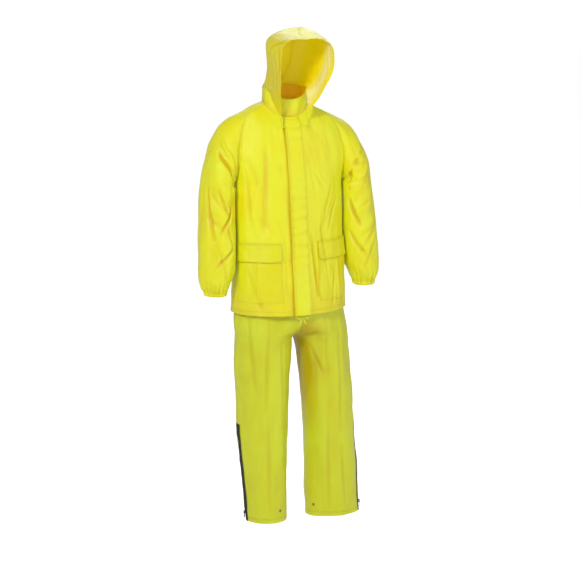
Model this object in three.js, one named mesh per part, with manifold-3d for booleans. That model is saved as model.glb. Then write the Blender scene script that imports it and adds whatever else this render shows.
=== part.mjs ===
// Rain suit in two pieces, a hooded jacket and trousers, filled out as when worn.
// Millimetres, +Z up, the front faces -Y and the wearer's left is +X.
// The origin is the centre of the neck at the height of the front neck seam.
import * as THREE from 'three';
import { mergeVertices } from 'three/addons/utils/BufferGeometryUtils.js';
import Module from 'manifold-3d';

const wasm = await Module();
wasm.setup();

// Driving dimensions
const CLOTH = 1.6;
const SEAM_GAP = 0.34;
const LAY_GAP = 0.45;
const FLAP_HALF = 33;
const UNDERARM = -240;
const JACKET_HEM = -715;
const CROTCH = -809;
const WAIST = -540;
const TROUSER_HEM = -1514;
const SADDLE_ANGLE = 20;
const CORD_RADIUS = 2;
const ZIP_TOP = -1140;
const TAPE = 1.2;

const YELLOW = 0xe2e23c;
const OLIVE = 0xcdd545;
const DARK = 0x3c3d33;

// Small helpers
const radians = THREE.MathUtils.degToRad;
const vec = (x, y, z) => new THREE.Vector3(x, y, z);
const mix = (from, to, share) => from + (to - from) * share;

function tableOf(names, rows) {
  return rows.map((row) => Object.fromEntries(names.map((name, column) => [name, row[column]])));
}

function smoothStep(value, low, high) {
  const share = Math.min(1, Math.max(0, (value - low) / (high - low)));
  return share * share * (3 - 2 * share);
}

// A row between the rows of a table, on a smooth curve through every column.
function rowAt(rows, name, key) {
  const rising = rows[1][name] > rows[0][name];
  let index = 0;
  while (index < rows.length - 2 && (rising ? key > rows[index + 1][name] : key < rows[index + 1][name])) {
    index += 1;
  }
  const here = rows[index];
  const next = rows[index + 1];
  const before = rows[Math.max(0, index - 1)];
  const after = rows[Math.min(rows.length - 1, index + 2)];
  const span = next[name] - here[name];
  const share = Math.min(1, Math.max(0, (key - here[name]) / span));
  const square = share * share;
  const cube = square * share;
  const result = {};
  for (const column of Object.keys(here)) {
    const slopeHere = (next[column] - before[column]) / (next[name] - before[name]);
    const slopeNext = (after[column] - here[column]) / (after[name] - here[name]);
    result[column] = (2 * cube - 3 * square + 1) * here[column]
      + (cube - 2 * square + share) * span * slopeHere
      + (3 * square - 2 * cube) * next[column]
      + (cube - square) * span * slopeNext;
  }
  return result;
}

// Jacket body: sections from neck to hem. Above the underarm a row ends on the raglan seams.
const YOKE = tableOf(
  ['height', 'frontY', 'frontSeamX', 'frontSeamY', 'frontSeamZ', 'backY', 'backZ', 'backSeamX', 'backSeamY',
    'backSeamZ', 'turn'],
  [
    [0, -57, 85, -15, 45, 58, 58, 77, 35, 50, 80],
    [-30, -75, 150, -28, 14, 78, 20, 146, 44, 14, 62],
    [-70, -90, 185, -40, -30, 94, -28, 184, 54, -32, 55],
    [-115, -103, 199, -52, -84, 104, -84, 200, 60, -86, 55],
    [-160, -114, 206, -60, -136, 108, -136, 207, 58, -137, 62],
    [-205, -123, 208, -54, -192, 107, -190, 208, 30, -193, 76],
    [UNDERARM, -129, 208, -32, -240, 105, -240, 208, -32, -240, 90],
  ],
);
const BODY = tableOf(
  ['height', 'frontY', 'backY', 'sideX', 'sideY'],
  [
    [-300, -137, 102, 209, -34],
    [-430, -151, 100, 211, -36],
    [-560, -167, 104, 215, -37],
    [-660, -180, 110, 219, -38],
    [JACKET_HEM, -187, 114, 222, -38],
  ],
);
const BELOW_UNDERARM = [
  YOKE[YOKE.length - 1],
  ...BODY.map((row) => ({
    height: row.height,
    frontY: row.frontY,
    frontSeamX: row.sideX,
    frontSeamY: row.sideY,
    frontSeamZ: row.height,
    backY: row.backY,
    backZ: row.height,
    backSeamX: row.sideX,
    backSeamY: row.sideY,
    backSeamZ: row.height,
    turn: 90,
  })),
];

// Sleeve rings from the shoulder down: the outer ridge, the inner line and the half depths.
const SLEEVE = tableOf(
  ['along', 'topX', 'topY', 'topZ', 'lowX', 'lowY', 'lowZ', 'front', 'back'],
  [
    [0.16, 226, 14, -16, 221, -32, -240, 66, 70],
    [0.22, 260, 13, -46, 224, -31, -247, 74, 76],
    [0.3, 291, 8, -98, 226, -31, -258, 80, 80],
    [0.4, 319, -4, -176, 228, -32, -281, 84, 82],
    [0.5, 332, -14, -268, 229, -34, -326, 84, 82],
    [0.6, 342, -26, -360, 228, -38, -387, 83, 80],
    [0.7, 350, -37, -450, 229, -44, -455, 80, 76],
    [0.8, 355, -45, -532, 232, -50, -527, 74, 70],
    [0.88, 353, -50, -586, 237, -54, -582, 66, 62],
    [0.93, 346, -52, -610, 247, -55, -608, 56, 53],
    [0.965, 338, -53, -625, 255, -55, -625, 47, 45],
    [1, 334, -54, -642, 258, -56, -642, 44, 42],
  ],
);
const FIRST_RING = 0.16;
const SLEEVE_RINGS = [0.09, FIRST_RING, 0.22, 0.3, 0.4, 0.5, 0.6, 0.7, 0.8, 0.88];
const CUFF_RINGS = [0.88, 0.93, 0.965];

// Hood rows from the lower edge up to the seam over the crown. The hood is turned a little on the
// neck: lean moves a whole row to one side, and sway moves its back further.
const HOOD = tableOf(
  ['row', 'backY', 'backZ', 'width', 'sideY', 'faceX', 'faceY', 'faceZ', 'power', 'lean', 'sway'],
  [
    [0, 62, 108, 84, 10, 49, -83, 10, 4, 4, 0],
    [1, 58, 140, 94, -22, 81, -132, 92, 2.6, 13, 10],
    [2, 54, 190, 102, -45, 101, -168, 172, 1.8, 19, 24],
    [3, 48, 240, 110, -60, 103, -189, 238, 1.2, 16, 32],
    [4, 38, 286, 109, -66, 94, -188, 274, 1, 14, 34],
    [5, 16, 310, 94, -72, 74, -180, 289, 1, 14, 34],
    [6, -12, 326, 60, -78, 50, -175, 298, 1, 16, 36],
    [7, -38, 331, 0, -95, 0, -174, 300, 1, 16, 34],
  ],
);

// Trouser sections per leg: lean moves the centre seam, legX is the ring's centre from it.
const LEG_NAMES = ['height', 'lean', 'legX', 'centreY', 'half', 'front', 'back', 'seamTurn'];
const HIP_ROWS = [
  [WAIST, 0, 0, -38, 176, 108, 96, 0],
  [-600, 0, 0, -37, 188, 114, 106, 0],
  [-660, 1, 2, -36, 202, 119, 116, 0],
  [-715, 2, 12, -35, 199, 122, 123, 0],
  [-755, 5, 42, -35, 174, 121, 126, 0],
  [-787, 10, 84, -35, 134, 118, 126, 0],
  [CROTCH, 13, 109, -35, 108.9, 114, 124, 0],
];
const LEG_RIGHT = tableOf(LEG_NAMES, [
  ...HIP_ROWS,
  [-853, 17, 118, -36, 107, 108, 116, 0],
  [-944, 22, 128, -38, 105, 104, 108, 0],
  [-1035, 25, 132, -40, 100, 100, 102, 0],
  [-1218, 30, 137, -44, 92, 92, 92, 0],
  [-1400, 36, 136, -49, 82, 84, 80, 0],
  [TROUSER_HEM, 40, 135, -52, 77, 78, 72, 0],
]);
const LEG_LEFT = tableOf(LEG_NAMES, [
  ...HIP_ROWS,
  [-853, 17, 118, -36, 101, 108, 116, 2],
  [-944, 22, 123, -38, 97, 104, 108, 6],
  [-1035, 25, 126, -40, 96, 98, 102, 10],
  [-1218, 30, 131, -44, 97, 88, 92, 16],
  [-1400, 36, 130, -49, 102, 80, 80, 18],
  [TROUSER_HEM, 40, 130, -52, 104, 76, 72, 18],
]);

// Folds: a soft trough between two points, or a ridge where the depth is below nought.
const FOLD_NAMES = ['fromX', 'fromY', 'fromZ', 'toX', 'toY', 'toZ', 'width', 'depth'];
const JACKET_FOLDS = tableOf(FOLD_NAMES, [
  [-262, -70, -110, -222, -70, -232, 17, 9],
  [-300, -60, -150, -232, -90, -262, 16, -6],
  [-322, -50, -230, -238, -110, -330, 20, 8],
  [-330, -90, -330, -250, -118, -420, 20, 6],
  [-320, -100, -420, -300, -120, -560, 24, 6],
  [-255, -110, -440, -262, -118, -560, 22, -5],
  [300, -40, -110, 232, -62, -235, 16, 9],
  [310, -60, -180, 240, -80, -270, 15, -6],
  [330, -70, -230, 236, -100, -320, 20, 7],
  [338, -90, -340, 250, -110, -400, 22, 7],
  [330, -90, -440, 290, -120, -570, 24, 5],
  [-300, 60, -150, -232, 60, -262, 20, 8],
  [-330, 50, -300, -245, 40, -400, 22, 7],
  [300, 60, -150, 232, 60, -262, 20, 8],
  [330, 50, -300, 245, 40, -400, 22, 7],
  [-150, -110, -240, -120, -155, -420, 24, 5],
  [-120, -130, -300, -80, -165, -500, 26, -4],
  [150, -125, -300, 80, -165, -450, 24, 5],
  [110, -150, -430, 80, -180, -640, 22, 6],
  [-60, 108, -200, -90, 104, -420, 26, 6],
  [75, 108, -230, 60, 104, -470, 26, 5],
  [-150, 90, -430, -120, 100, -650, 26, 5],
  [140, 92, -380, 160, 96, -620, 26, 6],
]);
const TROUSER_FOLDS = tableOf(FOLD_NAMES, [
  [-165, -120, -760, -150, -120, -1250, 24, 6],
  [-90, -140, -730, -95, -130, -900, 20, 5],
  [-60, -130, -980, -70, -130, -1380, 22, -4],
  [75, -150, -730, 70, -130, -980, 20, 6],
  [120, -140, -900, 150, -130, -1330, 26, 6],
  [190, -120, -760, 215, -115, -1000, 22, 5],
  [210, -110, -1150, 220, -110, -1420, 22, -4],
  [-120, 95, -780, -110, 60, -1300, 26, 6],
  [-190, 60, -800, -170, 40, -1100, 24, 5],
  [120, 92, -780, 150, 50, -1300, 26, 6],
  [200, 60, -900, 215, 40, -1350, 24, 5],
]);

// The wearer's left shoulder stands a little lower and further out than the right one.
const SHOULDER_DIP = 0.09;
const SHOULDER_SHIFT = 13;
function posed(point) {
  const fade = smoothStep(point.z, -330, -20) * (1 - smoothStep(point.z, 40, 110));
  const reach = Math.max(0, Math.abs(point.x) - 60) * Math.sign(point.x);
  const shift = SHOULDER_SHIFT * smoothStep(Math.abs(point.x), 100, 240) * fade;
  return vec(point.x + shift, point.y, point.z - SHOULDER_DIP * reach * fade);
}

// Points on the jacket body. share runs from the flap's edge to the seam, below nought on the flap.
function arcPoint(row, share, part) {
  const turn = radians(row.turn);
  const seamX = row[`${part}SeamX`];
  const seamY = row[`${part}SeamY`];
  const seamZ = row[`${part}SeamZ`];
  const centreY = row[`${part}Y`];
  const centreZ = part === 'front' ? row.height : row.backZ;
  const flapAngle = Math.asin((FLAP_HALF / seamX) * Math.sin(turn));
  const angle = share < 0 ? (share + 1) * flapAngle : mix(flapAngle, turn, share);
  const bow = (1 - Math.cos(angle)) / (1 - Math.cos(turn));
  return vec((seamX * Math.sin(angle)) / Math.sin(turn), mix(centreY, seamY, bow), mix(centreZ, seamZ, bow));
}

function bodyPoint(side, share, height, part) {
  const sections = height >= UNDERARM ? YOKE : BELOW_UNDERARM;
  const point = arcPoint(rowAt(sections, 'height', height), share, part);
  point.x *= side;
  return posed(point);
}

// Heights of the rows on a raglan seam: one for each sleeve angle from the saddle to the underarm.
function seamHeight(angle) {
  const top = Math.cos(radians(SADDLE_ANGLE));
  return (UNDERARM * (top - Math.cos(radians(angle)))) / (top + 1);
}

const SEAM_ANGLES = [20, 40, 60, 80, 100, 120, 140, 160, 180];
const SADDLE_STEPS = 2;

// Points on a sleeve. The angle is nought on the outer ridge and grows towards the front.
function seamLoopPoint(side, angle) {
  const turned = Math.abs(angle);
  if (turned >= SADDLE_ANGLE) {
    return bodyPoint(side, 1, seamHeight(turned), angle > 0 ? 'front' : 'back');
  }
  const front = bodyPoint(side, 1, 0, 'front');
  const back = bodyPoint(side, 1, 0, 'back');
  const share = (angle + SADDLE_ANGLE) / (2 * SADDLE_ANGLE);
  const point = back.lerp(front, share);
  point.z += 2 * (1 - (2 * share - 1) ** 2);
  return point;
}

function ringPoint(side, row, angle) {
  const turned = radians(angle);
  const reach = Math.cos(turned);
  const depth = angle > 0 ? row.front : row.back;
  const point = vec(
    side * mix(row.lowX, row.topX, (1 + reach) / 2),
    mix(row.lowY, row.topY, (1 + reach) / 2) - depth * Math.sin(turned),
    mix(row.lowZ, row.topZ, (1 + reach) / 2),
  );
  return posed(point);
}

function sleevePoint(side, angle, along) {
  const ring = ringPoint(side, rowAt(SLEEVE, 'along', along), angle);
  if (along >= FIRST_RING) {
    return ring;
  }
  return seamLoopPoint(side, angle).lerp(ring, along / FIRST_RING);
}

// Cloth pieces are open surfaces of points and triangles until they get their wall.
class Piece {
  constructor(name, colour, flip) {
    this.name = name;
    this.colour = colour;
    this.flip = flip;
    this.points = [];
    this.faces = [];
  }

  face(a, b, c) {
    this.faces.push(this.flip ? [a, c, b] : [a, b, c]);
  }

  quad(a, b, c, d) {
    if (this.points[a].distanceTo(this.points[c]) <= this.points[b].distanceTo(this.points[d])) {
      this.face(a, b, c);
      this.face(a, c, d);
    } else {
      this.face(a, b, d);
      this.face(b, c, d);
    }
  }
}

// A piece from rows of points; every row runs the same way and flip turns the outside round.
function gridPiece(name, colour, rows, flip, closed = false) {
  const piece = new Piece(name, colour, flip);
  const width = rows[0].length;
  for (const row of rows) {
    piece.points.push(...row);
  }
  const spans = closed ? width : width - 1;
  for (let row = 0; row < rows.length - 1; row += 1) {
    for (let column = 0; column < spans; column += 1) {
      const next = (column + 1) % width;
      const low = row * width;
      const high = low + width;
      piece.quad(low + column, low + next, high + next, high + column);
    }
  }
  return piece;
}

const keyOf = (point) => [point.x, point.y, point.z].map((value) => Math.round(value * 50)).join();

// Normals of all the pieces that are sewn to each other, shared where their points meet.
function sharedNormals(pieces) {
  const sums = new Map();
  for (const piece of pieces) {
    for (const face of piece.faces) {
      const [a, b, c] = face.map((index) => piece.points[index]);
      const push = b.clone().sub(a).cross(c.clone().sub(a));
      for (const point of [a, b, c]) {
        const key = keyOf(point);
        sums.set(key, (sums.get(key) ?? vec(0, 0, 0)).add(push));
      }
    }
  }
  for (const piece of pieces) {
    piece.normals = piece.points.map((point) => sums.get(keyOf(point)).clone().normalize());
  }
}

function foldDepth(point, folds) {
  let depth = 0;
  const line = new THREE.Line3();
  const nearest = vec(0, 0, 0);
  for (const fold of folds) {
    line.start.set(fold.fromX, fold.fromY, fold.fromZ);
    line.end.set(fold.toX, fold.toY, fold.toZ);
    const share = line.closestPointToPointParameter(point, true);
    line.at(share, nearest);
    const taper = Math.sin(Math.PI * mix(0.12, 0.88, share));
    const distance = nearest.distanceTo(point) / fold.width;
    depth += fold.depth * taper * Math.exp(-distance * distance);
  }
  return depth;
}

function foldCloth(pieces, folds, keepFlat) {
  sharedNormals(pieces);
  for (const piece of pieces) {
    piece.points = piece.points.map((point, index) => {
      const depth = foldDepth(point, folds) * keepFlat(point);
      return point.clone().addScaledVector(piece.normals[index], -depth);
    });
  }
  sharedNormals(pieces);
}

// Edges that belong to one face only, as pairs in that face's order.
function borderEdges(piece) {
  const count = new Map();
  const edgeKey = (a, b) => (a < b ? `${a},${b}` : `${b},${a}`);
  for (const face of piece.faces) {
    for (let corner = 0; corner < 3; corner += 1) {
      const key = edgeKey(face[corner], face[(corner + 1) % 3]);
      count.set(key, (count.get(key) ?? 0) + 1);
    }
  }
  const edges = [];
  for (const face of piece.faces) {
    for (let corner = 0; corner < 3; corner += 1) {
      const start = face[corner];
      const end = face[(corner + 1) % 3];
      if (count.get(edgeKey(start, end)) === 1) {
        edges.push({ start, end, face });
      }
    }
  }
  return edges;
}

// Border points are drawn in by half the seam gap, along the cloth.
function drawnIn(piece, edges, gap) {
  const pull = new Map();
  for (const { start, end, face } of edges) {
    const [a, b, c] = face.map((index) => piece.points[index]);
    const across = b.clone().sub(a).cross(c.clone().sub(a)).normalize();
    const along = piece.points[end].clone().sub(piece.points[start]).normalize();
    const inward = across.cross(along);
    for (const index of [start, end]) {
      pull.set(index, [...(pull.get(index) ?? []), inward]);
    }
  }
  return piece.points.map((point, index) => {
    if (!pull.has(index)) {
      return point.clone();
    }
    const [first, second] = pull.get(index);
    const middle = first.clone().add(second ?? first).normalize();
    const share = Math.max(0.5, middle.dot(first));
    return point.clone().addScaledVector(middle, gap / 2 / share);
  });
}

function solidGeometry(positions, faces) {
  const geometry = new THREE.BufferGeometry();
  const numbers = positions.flatMap((point) => [point.x, point.y, point.z]);
  geometry.setAttribute('position', new THREE.Float32BufferAttribute(numbers, 3));
  geometry.setIndex(faces.flat());
  geometry.computeVertexNormals();
  return geometry;
}

function meshOf(name, geometry, colour, roughness = 0.62, metalness = 0) {
  const mesh = new THREE.Mesh(geometry, new THREE.MeshStandardMaterial({ color: colour, roughness, metalness }));
  mesh.name = name;
  return mesh;
}

// Both sides of a seam cut their twisted edge quads the same way, by this order of their points.
const orderOf = (point) => Math.round(point.z * 50) * 1e5 + Math.round(point.x * 50);

// The wall stands between two lifts from the piece's points, and its border is closed.
function clothMesh(piece) {
  const edges = borderEdges(piece);
  const base = drawnIn(piece, edges, SEAM_GAP);
  const count = base.length;
  const lifts = piece.lifts ?? base.map(() => ({ under: -CLOTH, over: 0 }));
  const levelOf = (level) => base.map((point, index) => (
    point.clone().addScaledVector(piece.normals[index], lifts[index][level])
  ));
  const outer = levelOf('over');
  const inner = levelOf('under');
  const faces = piece.faces.map((face) => [...face]);
  for (const [a, b, c] of piece.faces) {
    faces.push([a + count, c + count, b + count]);
  }
  for (const { start, end } of edges) {
    if (orderOf(piece.points[start]) < orderOf(piece.points[end])) {
      faces.push([end, start, end + count], [start, start + count, end + count]);
    } else {
      faces.push([end, start, start + count], [end, start + count, end + count]);
    }
  }
  return meshOf(piece.name, solidGeometry([...outer, ...inner], faces), piece.colour);
}

// Jacket fronts. The first columns lie under the storm flap, the next ones carry the pocket.
const FRONT_SHARES = [-1, 0, 0.135, 0.26, 0.37, 0.46, 0.55, 0.68, 0.84, 0.93, 1];
const POCKET_COLUMNS = { inner: 2, pleat: 5, outer: 8 };
const LOW_HEIGHTS = [JACKET_HEM, -668, -620, -570, -518, -482, -450, -400, -345, -290, -258];
const POCKET_ROWS = { bottom: 1, flapBottom: 4, flapTop: 6 };
const SEAM_HEIGHTS = [...SEAM_ANGLES].reverse().map(seamHeight);
const HEIGHTS = [...LOW_HEIGHTS, ...SEAM_HEIGHTS];
const BACK_SHARES = [-1, 0, 0.2, 0.4, 0.6, 0.8, 1];

function frontRows(side) {
  return HEIGHTS.map((height) => FRONT_SHARES.map((share) => bodyPoint(side, share, height, 'front')));
}

function backRows() {
  const leftShares = BACK_SHARES.slice(1);
  const rightShares = [...leftShares].reverse();
  return HEIGHTS.map((height) => [
    ...rightShares.map((share) => bodyPoint(-1, share, height, 'back')),
    bodyPoint(1, -1, height, 'back'),
    ...leftShares.map((share) => bodyPoint(1, share, height, 'back')),
  ]);
}

// Angles round a sleeve: saddle, front seam, underarm and back seam.
function sleeveAngles() {
  const saddle = [];
  for (let step = 0; step <= SADDLE_STEPS; step += 1) {
    saddle.push(mix(-SADDLE_ANGLE, SADDLE_ANGLE, step / SADDLE_STEPS));
  }
  const front = SEAM_ANGLES.slice(1);
  const back = SEAM_ANGLES.slice(1, -1).reverse().map((angle) => -angle);
  return [...saddle, ...front, ...back];
}

function sleeveRows(side, rings) {
  return rings.map((along) => sleeveAngles().map((angle) => sleevePoint(side, angle, along)));
}

// Gathers: between two points of the plain ring there is one more, and they go in and out by turns.
function gatheredRing(ring, depth) {
  const centre = ring.reduce((sum, point) => sum.add(point), vec(0, 0, 0)).divideScalar(ring.length);
  const result = [];
  ring.forEach((point, index) => {
    const next = ring[(index + 1) % ring.length];
    const middle = point.clone().lerp(next, 0.5);
    const outward = point.clone().sub(centre).setZ(0).normalize();
    const inward = middle.clone().sub(centre).setZ(0).normalize();
    result.push(point.clone().addScaledVector(outward, depth * 0.5));
    result.push(middle.addScaledVector(inward, -depth * 0.5));
  });
  return result;
}

// A sleeve: plain rings, then twice as many points where the elastic gathers the cloth.
function sleevePiece(side, name) {
  const plain = sleeveRows(side, [0, ...SLEEVE_RINGS]);
  const piece = gridPiece(name, YELLOW, plain, side < 0, true);
  const [, ...lowRings] = sleeveRows(side, CUFF_RINGS);
  const gathered = [gatheredRing(lowRings[0], 5), gatheredRing(lowRings[1], 6)];
  const width = plain[0].length;
  const lastPlain = (plain.length - 1) * width;
  for (const ring of gathered) {
    piece.points.push(...ring);
  }
  const firstFine = lastPlain + width;
  for (let column = 0; column < width; column += 1) {
    const here = lastPlain + column;
    const next = lastPlain + ((column + 1) % width);
    const fine = firstFine + 2 * column;
    const fineNext = firstFine + ((2 * column + 2) % (2 * width));
    piece.face(here, fine + 1, fine);
    piece.face(here, next, fine + 1);
    piece.face(next, fineNext, fine + 1);
  }
  const fineWidth = 2 * width;
  for (let column = 0; column < fineWidth; column += 1) {
    const next = (column + 1) % fineWidth;
    const low = firstFine + fineWidth;
    piece.quad(firstFine + column, firstFine + next, low + next, low + column);
  }
  return piece;
}

// The cuff's elastic casing below the gathers.
function cuffPiece(side, name) {
  const [upper, lower] = sleeveRows(side, [CUFF_RINGS[2], 1]);
  const rows = [gatheredRing(upper, 6), gatheredRing(lower, 4)];
  return gridPiece(name, YELLOW, rows, side < 0, true);
}

// Neck seam loop from the flap's free edge round the back to the same place.
function neckLoop() {
  const leftFront = FRONT_SHARES.map((share) => ({ side: 1, share, part: 'front' }));
  const leftBack = [...BACK_SHARES].reverse().map((share) => ({ side: 1, share, part: 'back' }));
  const saddle = (side) => ({ side, saddle: true });
  const mirrored = (stops) => [...stops].reverse().map((stop) => ({ ...stop, side: -1 }));
  const rightFront = mirrored(leftFront);
  const rightBack = mirrored(leftBack);
  const flapEdge = rightFront[rightFront.length - 2];
  return [
    flapEdge,
    ...leftFront,
    saddle(1),
    ...leftBack,
    ...rightBack.slice(1),
    saddle(-1),
    ...rightFront.slice(0, -1),
  ];
}

function neckStopPoint(stop) {
  return stop.saddle ? seamLoopPoint(stop.side, 0) : bodyPoint(stop.side, stop.share, 0, stop.part);
}

// The stand collar leans in a little from the neck seam to its top edge.
const COLLAR_RISE = { front: 66, back: 52 };
function collarPoint(stop, share) {
  const point = neckStopPoint(stop);
  const toBack = smoothStep(point.y, -57, 30);
  const rise = mix(COLLAR_RISE.front, COLLAR_RISE.back, toBack);
  const spread = mix(1, 0.95, share);
  const forward = mix(-4, 4, toBack) * share;
  return vec(point.x * spread, point.y + forward, point.z + rise * share);
}

function collarPiece() {
  const stops = neckLoop();
  const rows = [0, 0.5, 1].map((share) => stops.map((stop) => collarPoint(stop, share)));
  return gridPiece('collar', YELLOW, rows, false);
}

// Hood panels. The lower edge follows the collar's top edge, then hangs free as a front wing.
const HOOD_ATTACHED_SHARES = [0.93, 0.84, 0.68];
const HOOD_WING_STEPS = 4;
const HOOD_SIDE_SHARE = 0.56;

function hoodStops(side) {
  const back = BACK_SHARES.map((share) => ({ side, share, part: 'back' }));
  const front = [1, ...HOOD_ATTACHED_SHARES].map((share) => ({ side, share, part: 'front' }));
  return [...back, { side, saddle: true }, ...front];
}

// Share of the way from the back seam to the face edge for each column.
function hoodShares() {
  const attached = hoodStops(1).length;
  const shares = [];
  for (let column = 0; column < attached + HOOD_WING_STEPS; column += 1) {
    shares.push(column < attached
      ? mix(0, 0.76, column / (attached - 1))
      : mix(0.76, 1, (column - attached + 1) / HOOD_WING_STEPS));
  }
  return shares;
}

function hoodRowPoint(side, row, share) {
  const depth = row.backY - row.sideY;
  const drop = mix(row.backZ, row.faceZ, share ** row.power);
  const lean = row.lean + row.sway * Math.max(0, 1 - share / HOOD_SIDE_SHARE);
  if (share < HOOD_SIDE_SHARE) {
    const angle = (Math.PI / 2) * (1 - share / HOOD_SIDE_SHARE);
    const x = side * row.width * Math.cos(angle) ** 0.9;
    return vec(x + lean, row.sideY + depth * Math.sin(angle), drop);
  }
  const ahead = (share - HOOD_SIDE_SHARE) / (1 - HOOD_SIDE_SHARE);
  const x = side * mix(row.width, row.faceX, ahead * ahead);
  return vec(x + lean, mix(row.sideY, row.faceY, ahead), drop);
}

function hoodPiece(side, name) {
  const shares = hoodShares();
  const stops = hoodStops(side);
  const rows = HOOD.map((row) => shares.map((share) => hoodRowPoint(side, row, share)));
  rows[0] = shares.map((share, column) => {
    if (column < stops.length) {
      return collarPoint(stops[column], 1);
    }
    const start = collarPoint(stops[stops.length - 1], 1);
    const end = hoodRowPoint(side, HOOD[0], 1);
    const ahead = (column - stops.length + 1) / HOOD_WING_STEPS;
    const point = start.lerp(end, ahead);
    const bulge = Math.sin(Math.PI * ahead);
    return point.add(vec(side * 8 * bulge, -10 * bulge, 6 * bulge));
  });
  return gridPiece(name, YELLOW, rows, side > 0);
}

// Trouser panels: the share runs from the inseam or centre seam to the side seam.
const LEG_SHARES = [0, 0.14, 0.28, 0.42, 0.56, 0.7, 0.84, 0.945, 1];
const ZIP_COLUMN = 7;
const LEG_HEIGHTS = [
  TROUSER_HEM, -1450, -1376, -1290, -1210, ZIP_TOP, -1060, -980, -910, -853, CROTCH, -787, -755, -715, -660, -600,
  WAIST,
];
const ZIP_ROWS = 5;
const WAISTBAND = 36;

function legPoint(side, part, share, height) {
  const row = rowAt(side > 0 ? LEG_LEFT : LEG_RIGHT, 'height', height);
  const start = Math.acos(Math.min(1, row.legX / row.half));
  const seam = Math.PI + radians(row.seamTurn) * (part === 'front' ? -1 : 1);
  const angle = mix(start, seam, share);
  const front = (part === 'front') === (angle <= Math.PI);
  const depth = front ? -row.front : row.back;
  const x = side * (row.legX - row.half * Math.cos(angle)) + row.lean;
  return vec(x, row.centreY + depth * Math.abs(Math.sin(angle)), height);
}

function legPiece(side, part, name) {
  const rows = LEG_HEIGHTS.map((height) => LEG_SHARES.map((share) => legPoint(side, part, share, height)));
  return gridPiece(name, OLIVE, rows, (side < 0) === (part === 'front'));
}

function waistLoop(height) {
  const inward = (side, part) => LEG_SHARES.map((share) => legPoint(side, part, share, WAIST).setZ(height));
  return [
    ...inward(1, 'front').slice(0, -1),
    ...inward(1, 'back').reverse().slice(0, -1),
    ...inward(-1, 'back').slice(0, -1),
    ...inward(-1, 'front').reverse().slice(0, -1),
  ];
}

function waistbandPiece() {
  return gridPiece('waistband', OLIVE, [waistLoop(WAIST), waistLoop(WAIST + WAISTBAND)], false, true);
}

// A piece that lies on a panel, made from the panel's own points; lifts say how far each one stands off.
function laidPiece(name, colour, panel, width, rowSpan, columnSpan, liftAt) {
  const rows = [];
  const normals = [];
  const lifts = [];
  for (let row = rowSpan[0]; row <= rowSpan[1]; row += 1) {
    const line = [];
    for (let column = columnSpan[0]; column <= columnSpan[1]; column += 1) {
      line.push(panel.points[row * width + column].clone());
      normals.push(panel.normals[row * width + column]);
      lifts.push(liftAt(row, column));
    }
    rows.push(line);
  }
  const piece = gridPiece(name, colour, rows, panel.flip);
  piece.normals = normals;
  piece.lifts = lifts;
  return piece;
}

const ON_PANEL = LAY_GAP;
const ON_POCKET = 2 * LAY_GAP + CLOTH;

function pocketPiece(panel, name) {
  const { inner, pleat, outer } = POCKET_COLUMNS;
  const liftAt = (row, column) => ({
    under: ON_PANEL,
    over: ON_PANEL + CLOTH + (column === pleat && row < POCKET_ROWS.flapBottom ? 3.2 : 0),
  });
  const rows = [POCKET_ROWS.bottom, POCKET_ROWS.flapTop - 1];
  return laidPiece(name, YELLOW, panel, FRONT_SHARES.length, rows, [inner, outer], liftAt);
}

function pocketFlapPiece(panel, name) {
  const liftAt = (row) => {
    const under = row === POCKET_ROWS.flapTop ? ON_PANEL : ON_POCKET;
    const proud = row === POCKET_ROWS.flapBottom ? 1.6 : 0;
    return { under: under + proud, over: under + proud + CLOTH };
  };
  const rows = [POCKET_ROWS.flapBottom, POCKET_ROWS.flapTop];
  const columns = [POCKET_COLUMNS.inner, POCKET_COLUMNS.outer];
  return laidPiece(name, YELLOW, panel, FRONT_SHARES.length, rows, columns, liftAt);
}

// A strip over the seam of two panels, from a column of each one and the seam between them.
function seamStrip(name, colour, panels, width, columns, rowSpan, lift, flip) {
  const [first, second] = panels;
  const stops = [[first, columns.beside], [first, columns.seam], [second, columns.beside]];
  const rows = [];
  const normals = [];
  for (let row = rowSpan[0]; row <= rowSpan[1]; row += 1) {
    rows.push(stops.map(([panel, column]) => panel.points[row * width + column].clone()));
    normals.push(...stops.map(([panel, column]) => panel.normals[row * width + column]));
  }
  const piece = gridPiece(name, colour, rows, flip);
  piece.normals = normals;
  piece.lifts = normals.map(() => lift);
  return piece;
}

// Cords: tubes on a smooth curve with flat ends.
function cordMesh(name, colour, stops, steps) {
  const curve = new THREE.CatmullRomCurve3(stops.map(([x, y, z]) => vec(x, y, z)), false, 'centripetal');
  const outline = new THREE.Shape();
  outline.absarc(0, 0, CORD_RADIUS, 0, 2 * Math.PI, false);
  const options = { steps, extrudePath: curve, curveSegments: 4, bevelEnabled: false };
  return meshOf(name, closedGeometry(new THREE.ExtrudeGeometry(outline, options)), colour);
}

function closedGeometry(geometry) {
  geometry.deleteAttribute('normal');
  geometry.deleteAttribute('uv');
  const merged = mergeVertices(geometry, 1e-3);
  merged.computeVertexNormals();
  return merged;
}

function knotMesh(name, colour, centre, size) {
  const ball = new THREE.SphereGeometry(1, 12, 8);
  ball.scale(...size);
  ball.translate(...centre);
  return meshOf(name, closedGeometry(ball), colour);
}

const mirrored = (stops, side, lean = 0) => stops.map(([x, y, z]) => [side * x + lean, y, z]);

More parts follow.
